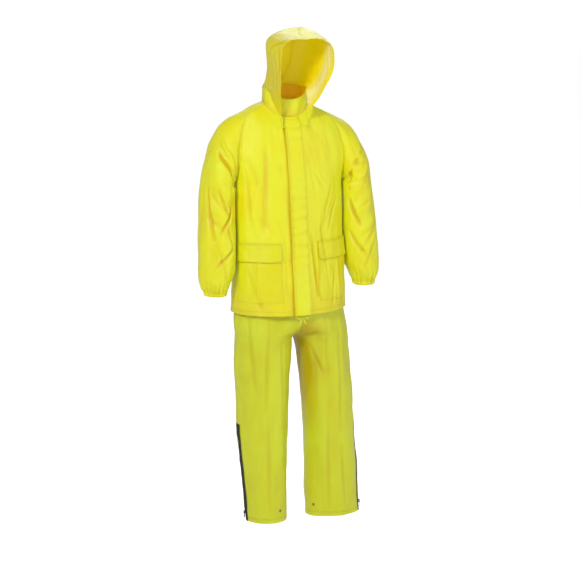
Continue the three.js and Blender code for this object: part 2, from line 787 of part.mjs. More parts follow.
// Trouser drawstring: two strands from the waistband to a small bow below the jacket's hem.
const STRAND = [[12, -145.65, -522], [12.2, -149.5, -523], [12.4, -154, -528.5], [12, -159, -550], [10, -164, -610],
  [7, -168.5, -665], [5.4, -171, -694], [3.2, -171.9, -702.2]];
const BOW_KNOT = [0, -173, -708.5];
const BOW_LOOP = [[7.4, -173, -705], [15, -175, -702], [23, -176, -706], [27, -177, -715], [24, -178, -724],
  [16, -178, -726], [10, -176, -719], [6.9, -175.3, -712.6]];
const BOW_END = [[2.9, -174, -715.8], [3.4, -175, -724], [5.5, -176, -733], [9, -177, -741], [13, -177, -749]];

// Hood drawcord ends hang from the lower corners of the face edge.
const HOOD_CORD = [[48.6, -83.5, 9.9], [48, -84.6, 2], [47, -86.5, -8], [47.2, -88.5, -16], [47, -90, -23.6]];
const HOOD_KNOT = [47, -90.4, -28.9];
const HOOD_LEAN = 4;

function drawstringMeshes() {
  const meshes = [knotMesh('bow_knot', OLIVE, BOW_KNOT, [7, 5.6, 7])];
  for (const [side, word] of [[-1, 'right'], [1, 'left']]) {
    meshes.push(cordMesh(`bow_strand_${word}`, OLIVE, mirrored(STRAND, side), 20));
    meshes.push(cordMesh(`bow_loop_${word}`, OLIVE, mirrored(BOW_LOOP, side), 14));
    meshes.push(cordMesh(`bow_end_${word}`, OLIVE, mirrored(BOW_END, side), 6));
  }
  return meshes;
}

function hoodCordMeshes() {
  const meshes = [];
  for (const [side, word] of [[-1, 'right'], [1, 'left']]) {
    meshes.push(cordMesh(`hood_cord_${word}`, YELLOW, mirrored(HOOD_CORD, side, HOOD_LEAN), 6));
    const centre = [side * HOOD_KNOT[0] + HOOD_LEAN, HOOD_KNOT[1], HOOD_KNOT[2]];
    meshes.push(knotMesh(`hood_cord_knot_${word}`, YELLOW, centre, [5.6, 4.6, 5]));
  }
  return meshes;
}

// Leg zip slider: a flat body with a bridge over it; the pull tab's bar turns under the bridge.
const SLIDER = { width: 9, height: 12, depth: 4, bridgeHalf: 5.4, bridgeBar: 1.6, bridgeWidth: 2, window: 3.4 };
const PULL = { width: 8, length: 22, thickness: 1.4, bar: 0.8, holeHalf: 2.5, holeLow: 7.2 };
const SLIDER_HEIGHT = TROUSER_HEM + 34;

function asSolid(geometry) {
  const closed = closedGeometry(geometry);
  return new wasm.Manifold(new wasm.Mesh({
    numProp: 3,
    vertProperties: closed.attributes.position.array,
    triVerts: new Uint32Array(closed.index.array),
  }));
}

function asGeometry(solid) {
  const mesh = solid.getMesh();
  const geometry = new THREE.BufferGeometry();
  geometry.setAttribute('position', new THREE.Float32BufferAttribute(mesh.vertProperties, 3));
  geometry.setIndex(Array.from(mesh.triVerts));
  geometry.computeVertexNormals();
  return geometry;
}

function roundedOutline(width, height, radius) {
  const [x, y] = [width / 2, height / 2];
  const shape = new THREE.Shape();
  shape.moveTo(-x + radius, -y);
  shape.lineTo(x - radius, -y);
  shape.absarc(x - radius, -y + radius, radius, -Math.PI / 2, 0, false);
  shape.absarc(x - radius, y - radius, radius, 0, Math.PI / 2, false);
  shape.absarc(-x + radius, y - radius, radius, Math.PI / 2, Math.PI, false);
  shape.absarc(-x + radius, -y + radius, radius, Math.PI, 1.5 * Math.PI, false);
  return shape;
}

function sliderGeometry() {
  const { width, height, depth, bridgeHalf, bridgeBar, bridgeWidth, window } = SLIDER;
  const bodyShape = roundedOutline(width, height, 2.5);
  const body = new THREE.ExtrudeGeometry(bodyShape, { depth, bevelEnabled: false, curveSegments: 3 });
  const arch = new THREE.Shape();
  const foot = depth - 1;
  const top = depth + window + bridgeBar;
  arch.moveTo(-bridgeHalf, foot);
  arch.lineTo(-bridgeHalf + bridgeBar, foot);
  arch.lineTo(-bridgeHalf + bridgeBar, depth + window);
  arch.lineTo(bridgeHalf - bridgeBar, depth + window);
  arch.lineTo(bridgeHalf - bridgeBar, foot);
  arch.lineTo(bridgeHalf, foot);
  arch.lineTo(bridgeHalf, top - 1.2);
  arch.lineTo(bridgeHalf - 1.2, top);
  arch.lineTo(-bridgeHalf + 1.2, top);
  arch.lineTo(-bridgeHalf, top - 1.2);
  const bridge = new THREE.ExtrudeGeometry(arch, { depth: bridgeWidth, bevelEnabled: false });
  bridge.translate(0, 0, -bridgeWidth / 2);
  bridge.applyMatrix4(new THREE.Matrix4().makeBasis(vec(0, 1, 0), vec(0, 0, 1), vec(1, 0, 0)));
  return asGeometry(asSolid(body).add(asSolid(bridge)));
}

function pullGeometry() {
  const { width, length, thickness, bar, holeHalf, holeLow } = PULL;
  const outline = roundedOutline(width, length, 2.5);
  const upper = length / 2 - bar;
  const hole = new THREE.Path();
  hole.moveTo(-holeHalf, upper - bar);
  hole.lineTo(-holeHalf, upper - holeLow);
  hole.lineTo(holeHalf, upper - holeLow);
  hole.lineTo(holeHalf, upper - bar);
  outline.holes.push(hole);
  const plate = new THREE.ExtrudeGeometry(outline, { depth: thickness, bevelEnabled: false, curveSegments: 3 });
  plate.translate(0, -upper, -thickness / 2);
  return closedGeometry(plate);
}

// The slider stands upright on the zip tape; its local axes are across, up and outward.
const SLIDER_SEAT = LAY_GAP + TAPE + 0.8;

function zipGroup(side, word, tape) {
  const [low, high] = [tape.points[1], tape.points[4]];
  const seam = low.clone().lerp(high, (SLIDER_HEIGHT - low.z) / (high.z - low.z));
  const outward = tape.normals[1].clone().setZ(0).normalize();
  const up = vec(0, 0, 1);
  const slider = meshOf(`zip_slider_${word}`, sliderGeometry(), DARK, 0.4, 0.6);
  const pull = meshOf(`zip_pull_${word}`, pullGeometry(), DARK, 0.4, 0.6);
  pull.position.set(0, 0, SLIDER.depth + SLIDER.window / 2);
  const holder = new THREE.Group();
  holder.quaternion.setFromRotationMatrix(new THREE.Matrix4().makeBasis(up.clone().cross(outward), up, outward));
  holder.position.copy(seam).addScaledVector(outward, SLIDER_SEAT);
  holder.add(slider, pull);
  return holder;
}

// Snaps: a low round cap on the middle of one face of a panel.
const SNAP_PROFILE = [[0, 0], [5.2, 0], [5.2, 0.8], [4.3, 1.8], [2, 2.3], [0, 2.4]];
const HEM_SNAP_FACES = { right: 5, left: 3 };
const COLLAR_SNAP_FACES = { right: 56, left: 19 };
function snapMesh(name, piece, face, colour) {
  const [a, b, c] = piece.faces[face].map((index) => piece.points[index]);
  const middle = a.clone().add(b).add(c).divideScalar(3);
  const outward = b.clone().sub(a).cross(c.clone().sub(a)).normalize();
  const profile = SNAP_PROFILE.map(([radius, height]) => new THREE.Vector2(radius, height));
  const mesh = meshOf(name, closedGeometry(new THREE.LatheGeometry(profile, 12)), colour, 0.45, 0.2);
  mesh.quaternion.setFromUnitVectors(vec(0, 1, 0), outward);
  mesh.position.copy(middle).addScaledVector(outward, LAY_GAP);
  return mesh;
}

// Jacket
const frontRight = gridPiece('front_right', YELLOW, frontRows(-1), true);
const frontLeft = gridPiece('front_left', YELLOW, frontRows(1), false);
const collar = collarPiece();
const jacket = [
  frontRight,
  frontLeft,
  gridPiece('back', YELLOW, backRows(), true),
  sleevePiece(-1, 'sleeve_right'),
  sleevePiece(1, 'sleeve_left'),
  cuffPiece(-1, 'cuff_right'),
  cuffPiece(1, 'cuff_left'),
  collar,
  hoodPiece(-1, 'hood_right'),
  hoodPiece(1, 'hood_left'),
];
foldCloth(jacket, JACKET_FOLDS, (point) => 1 - smoothStep(point.z, -90, -20));

// Trousers
const legs = {
  frontRight: legPiece(-1, 'front', 'leg_right_front'),
  backRight: legPiece(-1, 'back', 'leg_right_back'),
  frontLeft: legPiece(1, 'front', 'leg_left_front'),
  backLeft: legPiece(1, 'back', 'leg_left_back'),
};
const trousers = [...Object.values(legs), waistbandPiece()];
foldCloth(trousers, TROUSER_FOLDS, () => 1);

// Pieces that lie on the panels
const flapLift = { under: ON_PANEL, over: ON_PANEL + CLOTH };
const tapeLift = { under: ON_PANEL, over: ON_PANEL + TAPE };
const tapeOf = (word, panels, side) => seamStrip(
  `zip_tape_${word}`, DARK, panels, LEG_SHARES.length, { beside: ZIP_COLUMN, seam: ZIP_COLUMN + 1 }, [0, ZIP_ROWS],
  tapeLift, side < 0,
);
const tapes = {
  right: tapeOf('right', [legs.frontRight, legs.backRight], -1),
  left: tapeOf('left', [legs.frontLeft, legs.backLeft], 1),
};
const laid = [
  seamStrip('storm_flap', YELLOW, [frontRight, frontLeft], FRONT_SHARES.length, { beside: 1, seam: 0 },
    [0, HEIGHTS.length - 1], flapLift, false),
  pocketPiece(frontRight, 'pocket_right'),
  pocketPiece(frontLeft, 'pocket_left'),
  pocketFlapPiece(frontRight, 'pocket_flap_right'),
  pocketFlapPiece(frontLeft, 'pocket_flap_left'),
  tapes.right,
  tapes.left,
];

const group = new THREE.Group();
group.add(...[...jacket, ...trousers, ...laid].map(clothMesh));
group.add(...hoodCordMeshes(), ...drawstringMeshes());
group.add(zipGroup(-1, 'right', tapes.right), zipGroup(1, 'left', tapes.left));
group.add(
  snapMesh('hem_snap_right', legs.frontRight, HEM_SNAP_FACES.right, DARK),
  snapMesh('hem_snap_left', legs.frontLeft, HEM_SNAP_FACES.left, DARK),
  snapMesh('collar_snap_right', collar, COLLAR_SNAP_FACES.right, YELLOW),
  snapMesh('collar_snap_left', collar, COLLAR_SNAP_FACES.left, YELLOW),
);

export default group;
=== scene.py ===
import itertools
import math

import bpy
import numpy as np
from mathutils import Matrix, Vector, noise


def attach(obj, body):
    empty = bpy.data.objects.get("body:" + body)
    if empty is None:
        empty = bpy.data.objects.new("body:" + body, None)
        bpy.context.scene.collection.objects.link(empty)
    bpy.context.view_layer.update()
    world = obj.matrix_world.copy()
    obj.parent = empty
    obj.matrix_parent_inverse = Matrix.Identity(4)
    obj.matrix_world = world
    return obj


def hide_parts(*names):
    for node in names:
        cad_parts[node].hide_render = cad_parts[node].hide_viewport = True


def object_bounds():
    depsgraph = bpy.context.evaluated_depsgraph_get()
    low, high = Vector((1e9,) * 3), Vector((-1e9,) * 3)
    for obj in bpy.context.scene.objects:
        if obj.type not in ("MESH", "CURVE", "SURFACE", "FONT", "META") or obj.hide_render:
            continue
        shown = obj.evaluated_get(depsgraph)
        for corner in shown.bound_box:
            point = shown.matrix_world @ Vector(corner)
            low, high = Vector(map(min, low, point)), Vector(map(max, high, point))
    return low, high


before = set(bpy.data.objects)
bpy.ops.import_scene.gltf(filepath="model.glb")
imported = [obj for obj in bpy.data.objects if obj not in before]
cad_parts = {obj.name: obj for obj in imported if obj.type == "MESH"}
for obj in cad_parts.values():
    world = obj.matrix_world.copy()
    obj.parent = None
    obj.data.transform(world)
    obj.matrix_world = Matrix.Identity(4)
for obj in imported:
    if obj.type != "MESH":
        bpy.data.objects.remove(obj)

CAD_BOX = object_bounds()
SUIT = "suit"
SIDES = ((1, "left"), (-1, "right"))

# Sizes are in millimetres, as the suit's cutting sizes are; MM turns them into the scene's metres.
MM = 0.001
CLOTH = 1.3
FLAP_HALF = 33
UNDERARM = -240
JACKET_HEM = -715
CROTCH = -809
WAIST = -540
TROUSER_HEM = -1514
WAISTBAND = 36
SADDLE_ANGLE = 20
SADDLE_RISE = 2
ZIP_TOP = -1140


# Tables and smooth curves through their rows
def table_of(names, rows):
    columns = np.array(rows, float).T
    return dict(zip(names, columns))


def table_at(table, key, values):
    """Every column of the table at these values of its key column, on a smooth curve through the rows."""
    values = np.asarray(values, float)
    keys = table[key]
    if keys[0] > keys[-1]:
        table = {name: column[::-1] for name, column in table.items()}
        keys = table[key]
    last = len(keys) - 1
    here = np.clip(np.searchsorted(keys, values, side="right") - 1, 0, last - 1)
    after = here + 1
    before = np.maximum(here - 1, 0)
    beyond = np.minimum(here + 2, last)
    span = keys[after] - keys[here]
    share = np.clip((values - keys[here]) / span, 0, 1)
    square, cube = share ** 2, share ** 3
    result = {}
    for name, column in table.items():
        slope_here = (column[after] - column[before]) / (keys[after] - keys[before])
        slope_after = (column[beyond] - column[here]) / (keys[beyond] - keys[here])
        result[name] = (
            (2 * cube - 3 * square + 1) * column[here]
            + (cube - 2 * square + share) * span * slope_here
            + (3 * square - 2 * cube) * column[after]
            + (cube - square) * span * slope_after
        )
    return result


def upright(columns):
    """Table values as columns, to work on grids with the rows running down."""
    return {name: column[..., None] for name, column in columns.items()}


def grid_of(x, y, z):
    return np.stack([x, y, z], axis=-1)


def coordinates(points):
    return points[..., 0], points[..., 1], points[..., 2]


def mix(start, end, share):
    return start + (end - start) * share


def smooth_step(value, low, high):
    share = np.clip((np.asarray(value, float) - low) / (high - low), 0, 1)
    return share * share * (3 - 2 * share)


def finer(stops, steps):
    """Values with every gap between the stops cut into so many equal steps."""
    parts = [np.linspace(a, b, steps, endpoint=False) for a, b in zip(stops, stops[1:])]
    return np.append(np.concatenate(parts), stops[-1])


# Jacket body: sections from neck to hem. Above the underarm a row ends on the raglan seams.
YOKE = table_of(
    ["height", "front_y", "front_seam_x", "front_seam_y", "front_seam_z", "back_y", "back_z", "back_seam_x",
     "back_seam_y", "back_seam_z", "turn"],
    [
        [0, -57, 85, -15, 45, 58, 58, 77, 35, 50, 80],
        [-30, -75, 150, -28, 14, 78, 20, 146, 44, 14, 62],
        [-70, -90, 185, -40, -30, 94, -28, 184, 54, -32, 55],
        [-115, -103, 199, -52, -84, 104, -84, 200, 60, -86, 55],
        [-160, -114, 206, -60, -136, 108, -136, 207, 58, -137, 62],
        [-205, -123, 208, -54, -192, 107, -190, 208, 30, -193, 76],
        [UNDERARM, -129, 208, -32, -240, 105, -240, 208, -32, -240, 90],
    ],
)
BODY = table_of(
    ["height", "front_y", "back_y", "side_x", "side_y"],
    [
        [UNDERARM, -129, 105, 208, -32],
        [-300, -137, 102, 209, -34],
        [-430, -151, 100, 211, -36],
        [-560, -167, 104, 215, -37],
        [-660, -180, 110, 219, -38],
        [JACKET_HEM, -187, 114, 222, -38],
    ],
)
SLEEVE = table_of(
    ["along", "top_x", "top_y", "top_z", "low_x", "low_y", "low_z", "front", "back"],
    [
        [0.16, 226, 14, -16, 221, -32, -240, 66, 70],
        [0.22, 260, 13, -46, 224, -31, -247, 74, 76],
        [0.3, 291, 8, -98, 226, -31, -258, 80, 80],
        [0.4, 319, -4, -176, 228, -32, -281, 84, 82],
        [0.5, 332, -14, -268, 229, -34, -326, 84, 82],
        [0.6, 342, -26, -360, 228, -38, -387, 83, 80],
        [0.7, 350, -37, -450, 229, -44, -455, 80, 76],
        [0.8, 355, -45, -532, 232, -50, -527, 74, 70],
        [0.88, 353, -50, -586, 237, -54, -582, 66, 62],
        [0.93, 346, -52, -610, 247, -55, -608, 56, 53],
        [0.965, 338, -53, -625, 255, -55, -625, 47, 45],
        [1, 334, -54, -642, 258, -56, -642, 44, 42],
    ],
)
HOOD = table_of(
    ["row", "back_y", "back_z", "width", "side_y", "face_x", "face_y", "face_z", "power", "lean", "sway"],
    [
        [0, 62, 108, 84, 10, 49, -83, 10, 4, 4, 0],
        [1, 58, 140, 94, -22, 81, -132, 92, 2.6, 13, 10],
        [2, 54, 190, 102, -45, 101, -168, 172, 1.8, 19, 24],
        [3, 48, 240, 110, -60, 103, -189, 238, 1.2, 16, 32],
        [4, 38, 286, 109, -66, 94, -188, 274, 1, 14, 34],
        [5, 16, 310, 94, -72, 74, -180, 289, 1, 14, 34],
        [6, -12, 326, 60, -78, 50, -175, 298, 1, 16, 36],
        [7, -38, 331, 0, -95, 0, -174, 300, 1, 16, 34],
    ],
)
LEG_NAMES = ["height", "lean", "leg_x", "centre_y", "half", "front", "back", "seam_turn"]
HIP_ROWS = [
    [WAIST, 0, 0, -38, 176, 108, 96, 0],
    [-600, 0, 0, -37, 188, 114, 106, 0],
    [-660, 1, 2, -36, 202, 119, 116, 0],
    [-715, 2, 12, -35, 199, 122, 123, 0],
    [-755, 5, 42, -35, 174, 121, 126, 0],
    [-787, 10, 84, -35, 134, 118, 126, 0],
    [CROTCH, 13, 109, -35, 108.9, 114, 124, 0],
]
LEG_RIGHT = table_of(LEG_NAMES, HIP_ROWS + [
    [-853, 17, 118, -36, 107, 108, 116, 0],
    [-944, 22, 128, -38, 105, 104, 108, 0],
    [-1035, 25, 132, -40, 100, 100, 102, 0],
    [-1218, 30, 137, -44, 92, 92, 92, 0],
    [-1400, 36, 136, -49, 82, 84, 80, 0],
    [TROUSER_HEM, 40, 135, -52, 77, 78, 72, 0],
])
LEG_LEFT = table_of(LEG_NAMES, HIP_ROWS + [
    [-853, 17, 118, -36, 101, 108, 116, 2],
    [-944, 22, 123, -38, 97, 104, 108, 6],
    [-1035, 25, 126, -40, 96, 98, 102, 10],
    [-1218, 30, 131, -44, 97, 88, 92, 16],
    [-1400, 36, 130, -49, 102, 80, 80, 18],
    [TROUSER_HEM, 40, 130, -52, 104, 76, 72, 18],
])

# Folds: a soft trough between two points, or a ridge where the depth is below nought.
FOLD_NAMES = ["from_x", "from_y", "from_z", "to_x", "to_y", "to_z", "width", "depth"]
JACKET_FOLDS = table_of(FOLD_NAMES, [
    [-262, -70, -110, -222, -70, -232, 17, 9],
    [-300, -60, -150, -232, -90, -262, 16, -6],
    [-322, -50, -230, -238, -110, -330, 20, 8],
    [-330, -90, -330, -250, -118, -420, 20, 6],
    [-320, -100, -420, -300, -120, -560, 24, 6],
    [-255, -110, -440, -262, -118, -560, 22, -5],
    [300, -40, -110, 232, -62, -235, 16, 9],
    [310, -60, -180, 240, -80, -270, 15, -6],
    [330, -70, -230, 236, -100, -320, 20, 7],
    [338, -90, -340, 250, -110, -400, 22, 7],
    [330, -90, -440, 290, -120, -570, 24, 5],
    [-300, 60, -150, -232, 60, -262, 20, 8],
    [-330, 50, -300, -245, 40, -400, 22, 7],
    [300, 60, -150, 232, 60, -262, 20, 8],
    [330, 50, -300, 245, 40, -400, 22, 7],
    [-150, -110, -240, -120, -155, -420, 24, 5],
    [-120, -130, -300, -80, -165, -500, 26, -4],
    [150, -125, -300, 80, -165, -450, 24, 5],
    [110, -150, -430, 80, -180, -640, 22, 6],
    [-60, 108, -200, -90, 104, -420, 26, 6],
    [75, 108, -230, 60, 104, -470, 26, 5],
    [-150, 90, -430, -120, 100, -650, 26, 5],
    [140, 92, -380, 160, 96, -620, 26, 6],
])
TROUSER_FOLDS = table_of(FOLD_NAMES, [
    [-165, -120, -760, -150, -120, -1250, 24, 6],
    [-90, -140, -730, -95, -130, -900, 20, 5],
    [-60, -130, -980, -70, -130, -1380, 22, -4],
    [75, -150, -730, 70, -130, -980, 20, 6],
    [120, -140, -900, 150, -130, -1330, 26, 6],
    [190, -120, -760, 215, -115, -1000, 22, 5],
    [210, -110, -1150, 220, -110, -1420, 22, -4],
    [-120, 95, -780, -110, 60, -1300, 26, 6],
    [-190, 60, -800, -170, 40, -1100, 24, 5],
    [120, 92, -780, 150, 50, -1300, 26, 6],
    [200, 60, -900, 215, 40, -1350, 24, 5],
])
# Sharper creases that only the cloth itself shows.
JACKET_CREASES = table_of(FOLD_NAMES, [
    [-301, -50, -90, -223, -100, -214, 8, 7],
    [-279, -40, -50, -226, -95, -168, 9, -6],
    [-226, -105, -298, -290, -105, -407, 8, 5.5],
    [-230, -115, -447, -308, -110, -529, 8, 5],
    [-335, -50, -244, -316, -100, -425, 10, 4.5],
    [-300, -100, -250, -262, -112, -330, 8, 4],
    [272, -60, -149, 223, -75, -245, 8, 7],
    [279, -60, -240, 221, -80, -280, 7, 5.5],
    [227, -80, -318, 263, -100, -412, 8, 6],
    [226, -90, -437, 285, -105, -526, 8, 5],
    [323, -70, -385, 268, -108, -505, 9, 4.5],
    [300, -86, -190, 262, -96, -240, 10, -4],
    [-198, -100, -186, -190, -125, -408, 14, 4.5],
    [-112, -115, -80, -142, -150, -409, 17, 4],
    [49, -155, -423, 71, -180, -647, 8, 4.5],
    [-254, -66, -92, -216, -74, -205, 6, 3.5],
    [-240, -80, -120, -214, -76, -226, 5, -2.2],
    [-286, -66, -186, -236, -92, -290, 7, 2.6],
    [-318, -74, -262, -250, -108, -350, 8, 2.4],
    [-334, -60, -340, -282, -112, -392, 8, 2.2],
    [-262, -112, -380, -240, -110, -470, 8, 2.4],
    [-300, -118, -470, -268, -120, -580, 8, 2],
    [292, -50, -128, 236, -78, -226, 6, 3.2],
    [318, -60, -214, 244, -92, -282, 7, 2.6],
    [326, -72, -292, 242, -102, -358, 8, 2.6],
    [336, -86, -392, 262, -114, -452, 8, 2.2],
    [318, -104, -470, 276, -118, -572, 8, 2],
    [-176, -84, -150, -140, -120, -262, 12, 1.2],
    [-60, -126, -150, -48, -140, -330, 12, 1],
    [-170, -112, -330, -90, -160, -430, 12, 1.1],
    [-64, -160, -440, -58, -178, -640, 9, 1.8],
    [52, -126, -130, 74, -138, -300, 10, 1.2],
    [96, -150, -396, 118, -160, -560, 8, 2.2],
    [176, -110, -300, 128, -150, -420, 9, 1.8],
    [150, -140, -560, 130, -160, -700, 9, 1.8],
    [-98, -112, 120, -104, -128, 250, 9, 2],
    [-84, -150, 128, -98, -170, 270, 8, 1.8],
    [-96, -40, 120, -108, -30, 240, 10, 2],
    [-70, -176, 296, -104, -100, 262, 8, 2],
    [86, -150, 120, 112, -120, 250, 9, 1.8],
    [0, 60, 120, 40, 54, 210, 10, 1.6],
    [-150, 102, -300, -60, 106, -380, 10, 2],
    [60, 106, -300, 140, 98, -430, 10, 2],
    [-40, 104, -480, 10, 106, -680, 10, 1.8],
    [90, 106, -500, 60, 108, -690, 10, 1.8],
    [-300, 62, -210, -236, 50, -300, 8, 2.4],
    [-318, 40, -330, -250, 30, -420, 8, 2.4],
    [300, 62, -210, 236, 50, -300, 8, 2.4],
    [318, 40, -330, 250, 30, -420, 8, 2.4],
    [-190, 66, -262, -128, 100, -352, 9, 4.5],
    [-205, 40, -318, -150, 88, -372, 8, 3.5],
    [196, 62, -270, 120, 100, -366, 9, 4.5],
    [208, 30, -330, 156, 84, -392, 8, 3.2],
    [-110, 104, -470, 20, 108, -512, 10, 3],
    [30, 106, -540, 150, 92, -505, 10, 3],
    [-30, 88, -60, -24, 106, -240, 12, 2.8],
    [110, 86, -70, 66, 104, -200, 11, 2.8],
    [-122, 82, -60, -84, 104, -190, 11, 2.8],
    [-246, 30, -120, -214, 40, -232, 8, 5],
    [250, 28, -130, 216, 40, -240, 8, 5],
    [-262, 40, -420, -320, 20, -500, 9, 4],
    [262, 38, -430, 324, 18, -520, 9, 4],
    [-88, -150, -350, -44, -172, -520, 11, 1.3],
    [70, -130, -190, 118, -140, -262, 9, 1.4],
    [150, -112, -250, 116, -140, -345, 9, 1.6],
    [-190, -110, -560, -150, -150, -690, 10, 3],
    [200, -90, -540, 178, -120, -690, 10, 3],
])
TROUSER_CREASES = table_of(FOLD_NAMES, [
    [-180, -96, -730, -160, -110, -980, 10, 2.2],
    [-120, -146, -730, -128, -138, -1080, 10, 1.8],
    [-60, -150, -820, -52, -130, -1120, 9, 2],
    [-120, -136, -1100, -112, -128, -1470, 10, 1.8],
    [-40, -110, -1180, -44, -100, -1440, 9, 1.8],
    [40, -146, -800, 60, -128, -1100, 9, 2.2],
    [100, -148, -730, 118, -140, -960, 10, 2],
    [160, -136, -780, 176, -130, -1180, 10, 1.8],
    [226, -96, -760, 240, -96, -1120, 10, 2],
    [120, -134, -1120, 130, -124, -1480, 10, 1.8],
    [180, -130, -1240, 196, -118, -1490, 9, 2],
    [-150, 84, -780, -130, 50, -1420, 11, 2],
    [-70, 84, -860, -70, 50, -1380, 11, 2],
    [90, 84, -860, 110, 50, -1380, 11, 2],
    [180, 74, -800, 190, 36, -1420, 11, 2],
    [40, -120, -850, 96, -146, -960, 9, 3],
    [-170, 48, -1030, -80, 60, -1070, 10, 3.5],
    [76, 60, -1060, 184, 44, -1020, 10, 3.5],
    [-60, 84, -830, -140, 84, -900, 10, 3.5],
    [66, 84, -830, 150, 82, -910, 10, 3.5],
])

SHOULDER_DIP = 0.09
SHOULDER_SHIFT = 13
SHOULDER_INNER = 60
SHOULDER_SPAN = (100, 240)
SHOULDER_LOW, SHOULDER_HIGH = (-330, -20), (40, 110)


def posed(points):
    """The wearer's left shoulder stands a little lower and further out than the right one."""
    x, y, z = coordinates(points)
    fade = smooth_step(z, *SHOULDER_LOW) * (1 - smooth_step(z, *SHOULDER_HIGH))
    reach = np.maximum(0, np.abs(x) - SHOULDER_INNER) * np.sign(x)
    shift = SHOULDER_SHIFT * smooth_step(np.abs(x), *SHOULDER_SPAN) * fade
    return grid_of(x + shift, y, z - SHOULDER_DIP * reach * fade)


def body_sections(heights, part):
    """Centre line, seam and turn of the front or back at these heights."""
    yoke = table_at(YOKE, "height", heights)
    body = table_at(BODY, "height", heights)
    above = np.asarray(heights) >= UNDERARM
    heights = np.asarray(heights, float)

    def pick(high, low):
        return np.where(above, high, low)

    return {
        "centre_y": pick(yoke[part + "_y"], body[part + "_y"]),
        "centre_z": pick(heights if part == "front" else yoke["back_z"], heights),
        "seam_x": pick(yoke[part + "_seam_x"], body["side_x"]),
        "seam_y": pick(yoke[part + "_seam_y"], body["side_y"]),
        "seam_z": pick(yoke[part + "_seam_z"], heights),
        "turn": np.radians(pick(yoke["turn"], 90)),
    }


def body_points(side, shares, heights, part):
    """Points of a jacket panel. A share runs from the flap's edge to the seam, below nought on the flap."""
    row = upright(body_sections(heights, part))
    shares = np.asarray(shares, float)
    flap_angle = np.arcsin(FLAP_HALF / row["seam_x"] * np.sin(row["turn"]))
    angle = np.where(shares < 0, (shares + 1) * flap_angle, mix(flap_angle, row["turn"], shares))
    bow = (1 - np.cos(angle)) / (1 - np.cos(row["turn"]))
    x = side * row["seam_x"] * np.sin(angle) / np.sin(row["turn"])
    y = mix(row["centre_y"], row["seam_y"], bow)
    z = mix(row["centre_z"], row["seam_z"], bow)
    return posed(grid_of(x, y, z))


def seam_height(angle):
    """Height of the body row that meets the sleeve at this angle on the raglan seam."""
    top = math.cos(math.radians(SADDLE_ANGLE))
    return UNDERARM * (top - np.cos(np.radians(angle))) / (top + 1)


def seam_loop(side, angles):
    """The sleeve's upper edge: over the saddle at the neck and down both raglan seams."""
    points = []
    for angle in angles:
        turned = abs(angle)
        if turned >= SADDLE_ANGLE:
            part = "front" if angle > 0 else "back"
            points.append(body_points(side, [1], [seam_height(turned)], part)[0, 0])
        else:
            front = body_points(side, [1], [0], "front")[0, 0]
            back = body_points(side, [1], [0], "back")[0, 0]
            share = (angle + SADDLE_ANGLE) / (2 * SADDLE_ANGLE)
            points.append(mix(back, front, share) + [0, 0, SADDLE_RISE * (1 - (2 * share - 1) ** 2)])
    return np.array(points)


INNER_FULLNESS = 13
INNER_ROUNDNESS = 1.5
INNER_STARTS, INNER_ENDS = (236, 257), (540, 600)


def sleeve_rings(side, along, angles):
    """Rings of the sleeve, a little fuller on the inside between the underarm and the cuff."""
    row = upright(table_at(SLEEVE, "along", along))
    turned = np.radians(angles)
    reach = (1 + np.cos(turned)) / 2
    depth = np.where(np.asarray(angles) > 0, row["front"], row["back"])
    x = side * mix(row["low_x"], row["top_x"], reach)
    y = mix(row["low_y"], row["top_y"], reach) - depth * np.sin(turned)
    z = mix(row["low_z"], row["top_z"], reach)
    fade = smooth_step(-z, *INNER_STARTS) * (1 - smooth_step(-z, *INNER_ENDS))
    fullness = INNER_FULLNESS * (1 - reach) ** INNER_ROUNDNESS * fade
    return posed(grid_of(x - side * fullness, y, z))


# Pieces of cloth as grids of points
class Panel:
    """One cut piece: a grid of points. Flip turns it over, closed joins its last column to the first."""

    def __init__(self, name, points, flip, closed=False):
        self.name = name
        self.points = np.array(points, float)
        self.flip = flip
        self.closed = closed
        self.normals = None
        # Painted shade of each point: how far the cloth's colour deepens there.
        self.folded = np.zeros(self.points.shape[:-1])

    def quads(self):
        rows, columns = self.points.shape[:2]
        index = np.arange(rows * columns).reshape(rows, columns)
        if self.closed:
            index = np.concatenate([index, index[:, :1]], axis=1)
        corners = [index[:-1, :-1], index[:-1, 1:], index[1:, 1:], index[1:, :-1]]
        quads = np.stack(corners, axis=-1).reshape(-1, 4)
        return quads[:, ::-1] if self.flip else quads

    def rim(self):
        """Edges of the open sides, in the order of the faces beside them."""
        rows, columns = self.points.shape[:2]
        index = np.arange(rows * columns).reshape(rows, columns)
        lines = [index[0], index[-1][::-1]]
        if self.closed:
            lines = [np.append(line, line[0]) for line in lines]
            pairs = [np.stack([line[:-1], line[1:]], axis=-1) for line in lines]
        else:
            around = np.concatenate([index[0], index[1:, -1], index[-1, :-1][::-1], index[1:-1, 0][::-1]])
            around = np.append(around, around[0])
            pairs = [np.stack([around[:-1], around[1:]], axis=-1)]
        pairs = np.concatenate(pairs)
        return pairs[:, ::-1] if self.flip else pairs


POINTS_PER_MM = 20


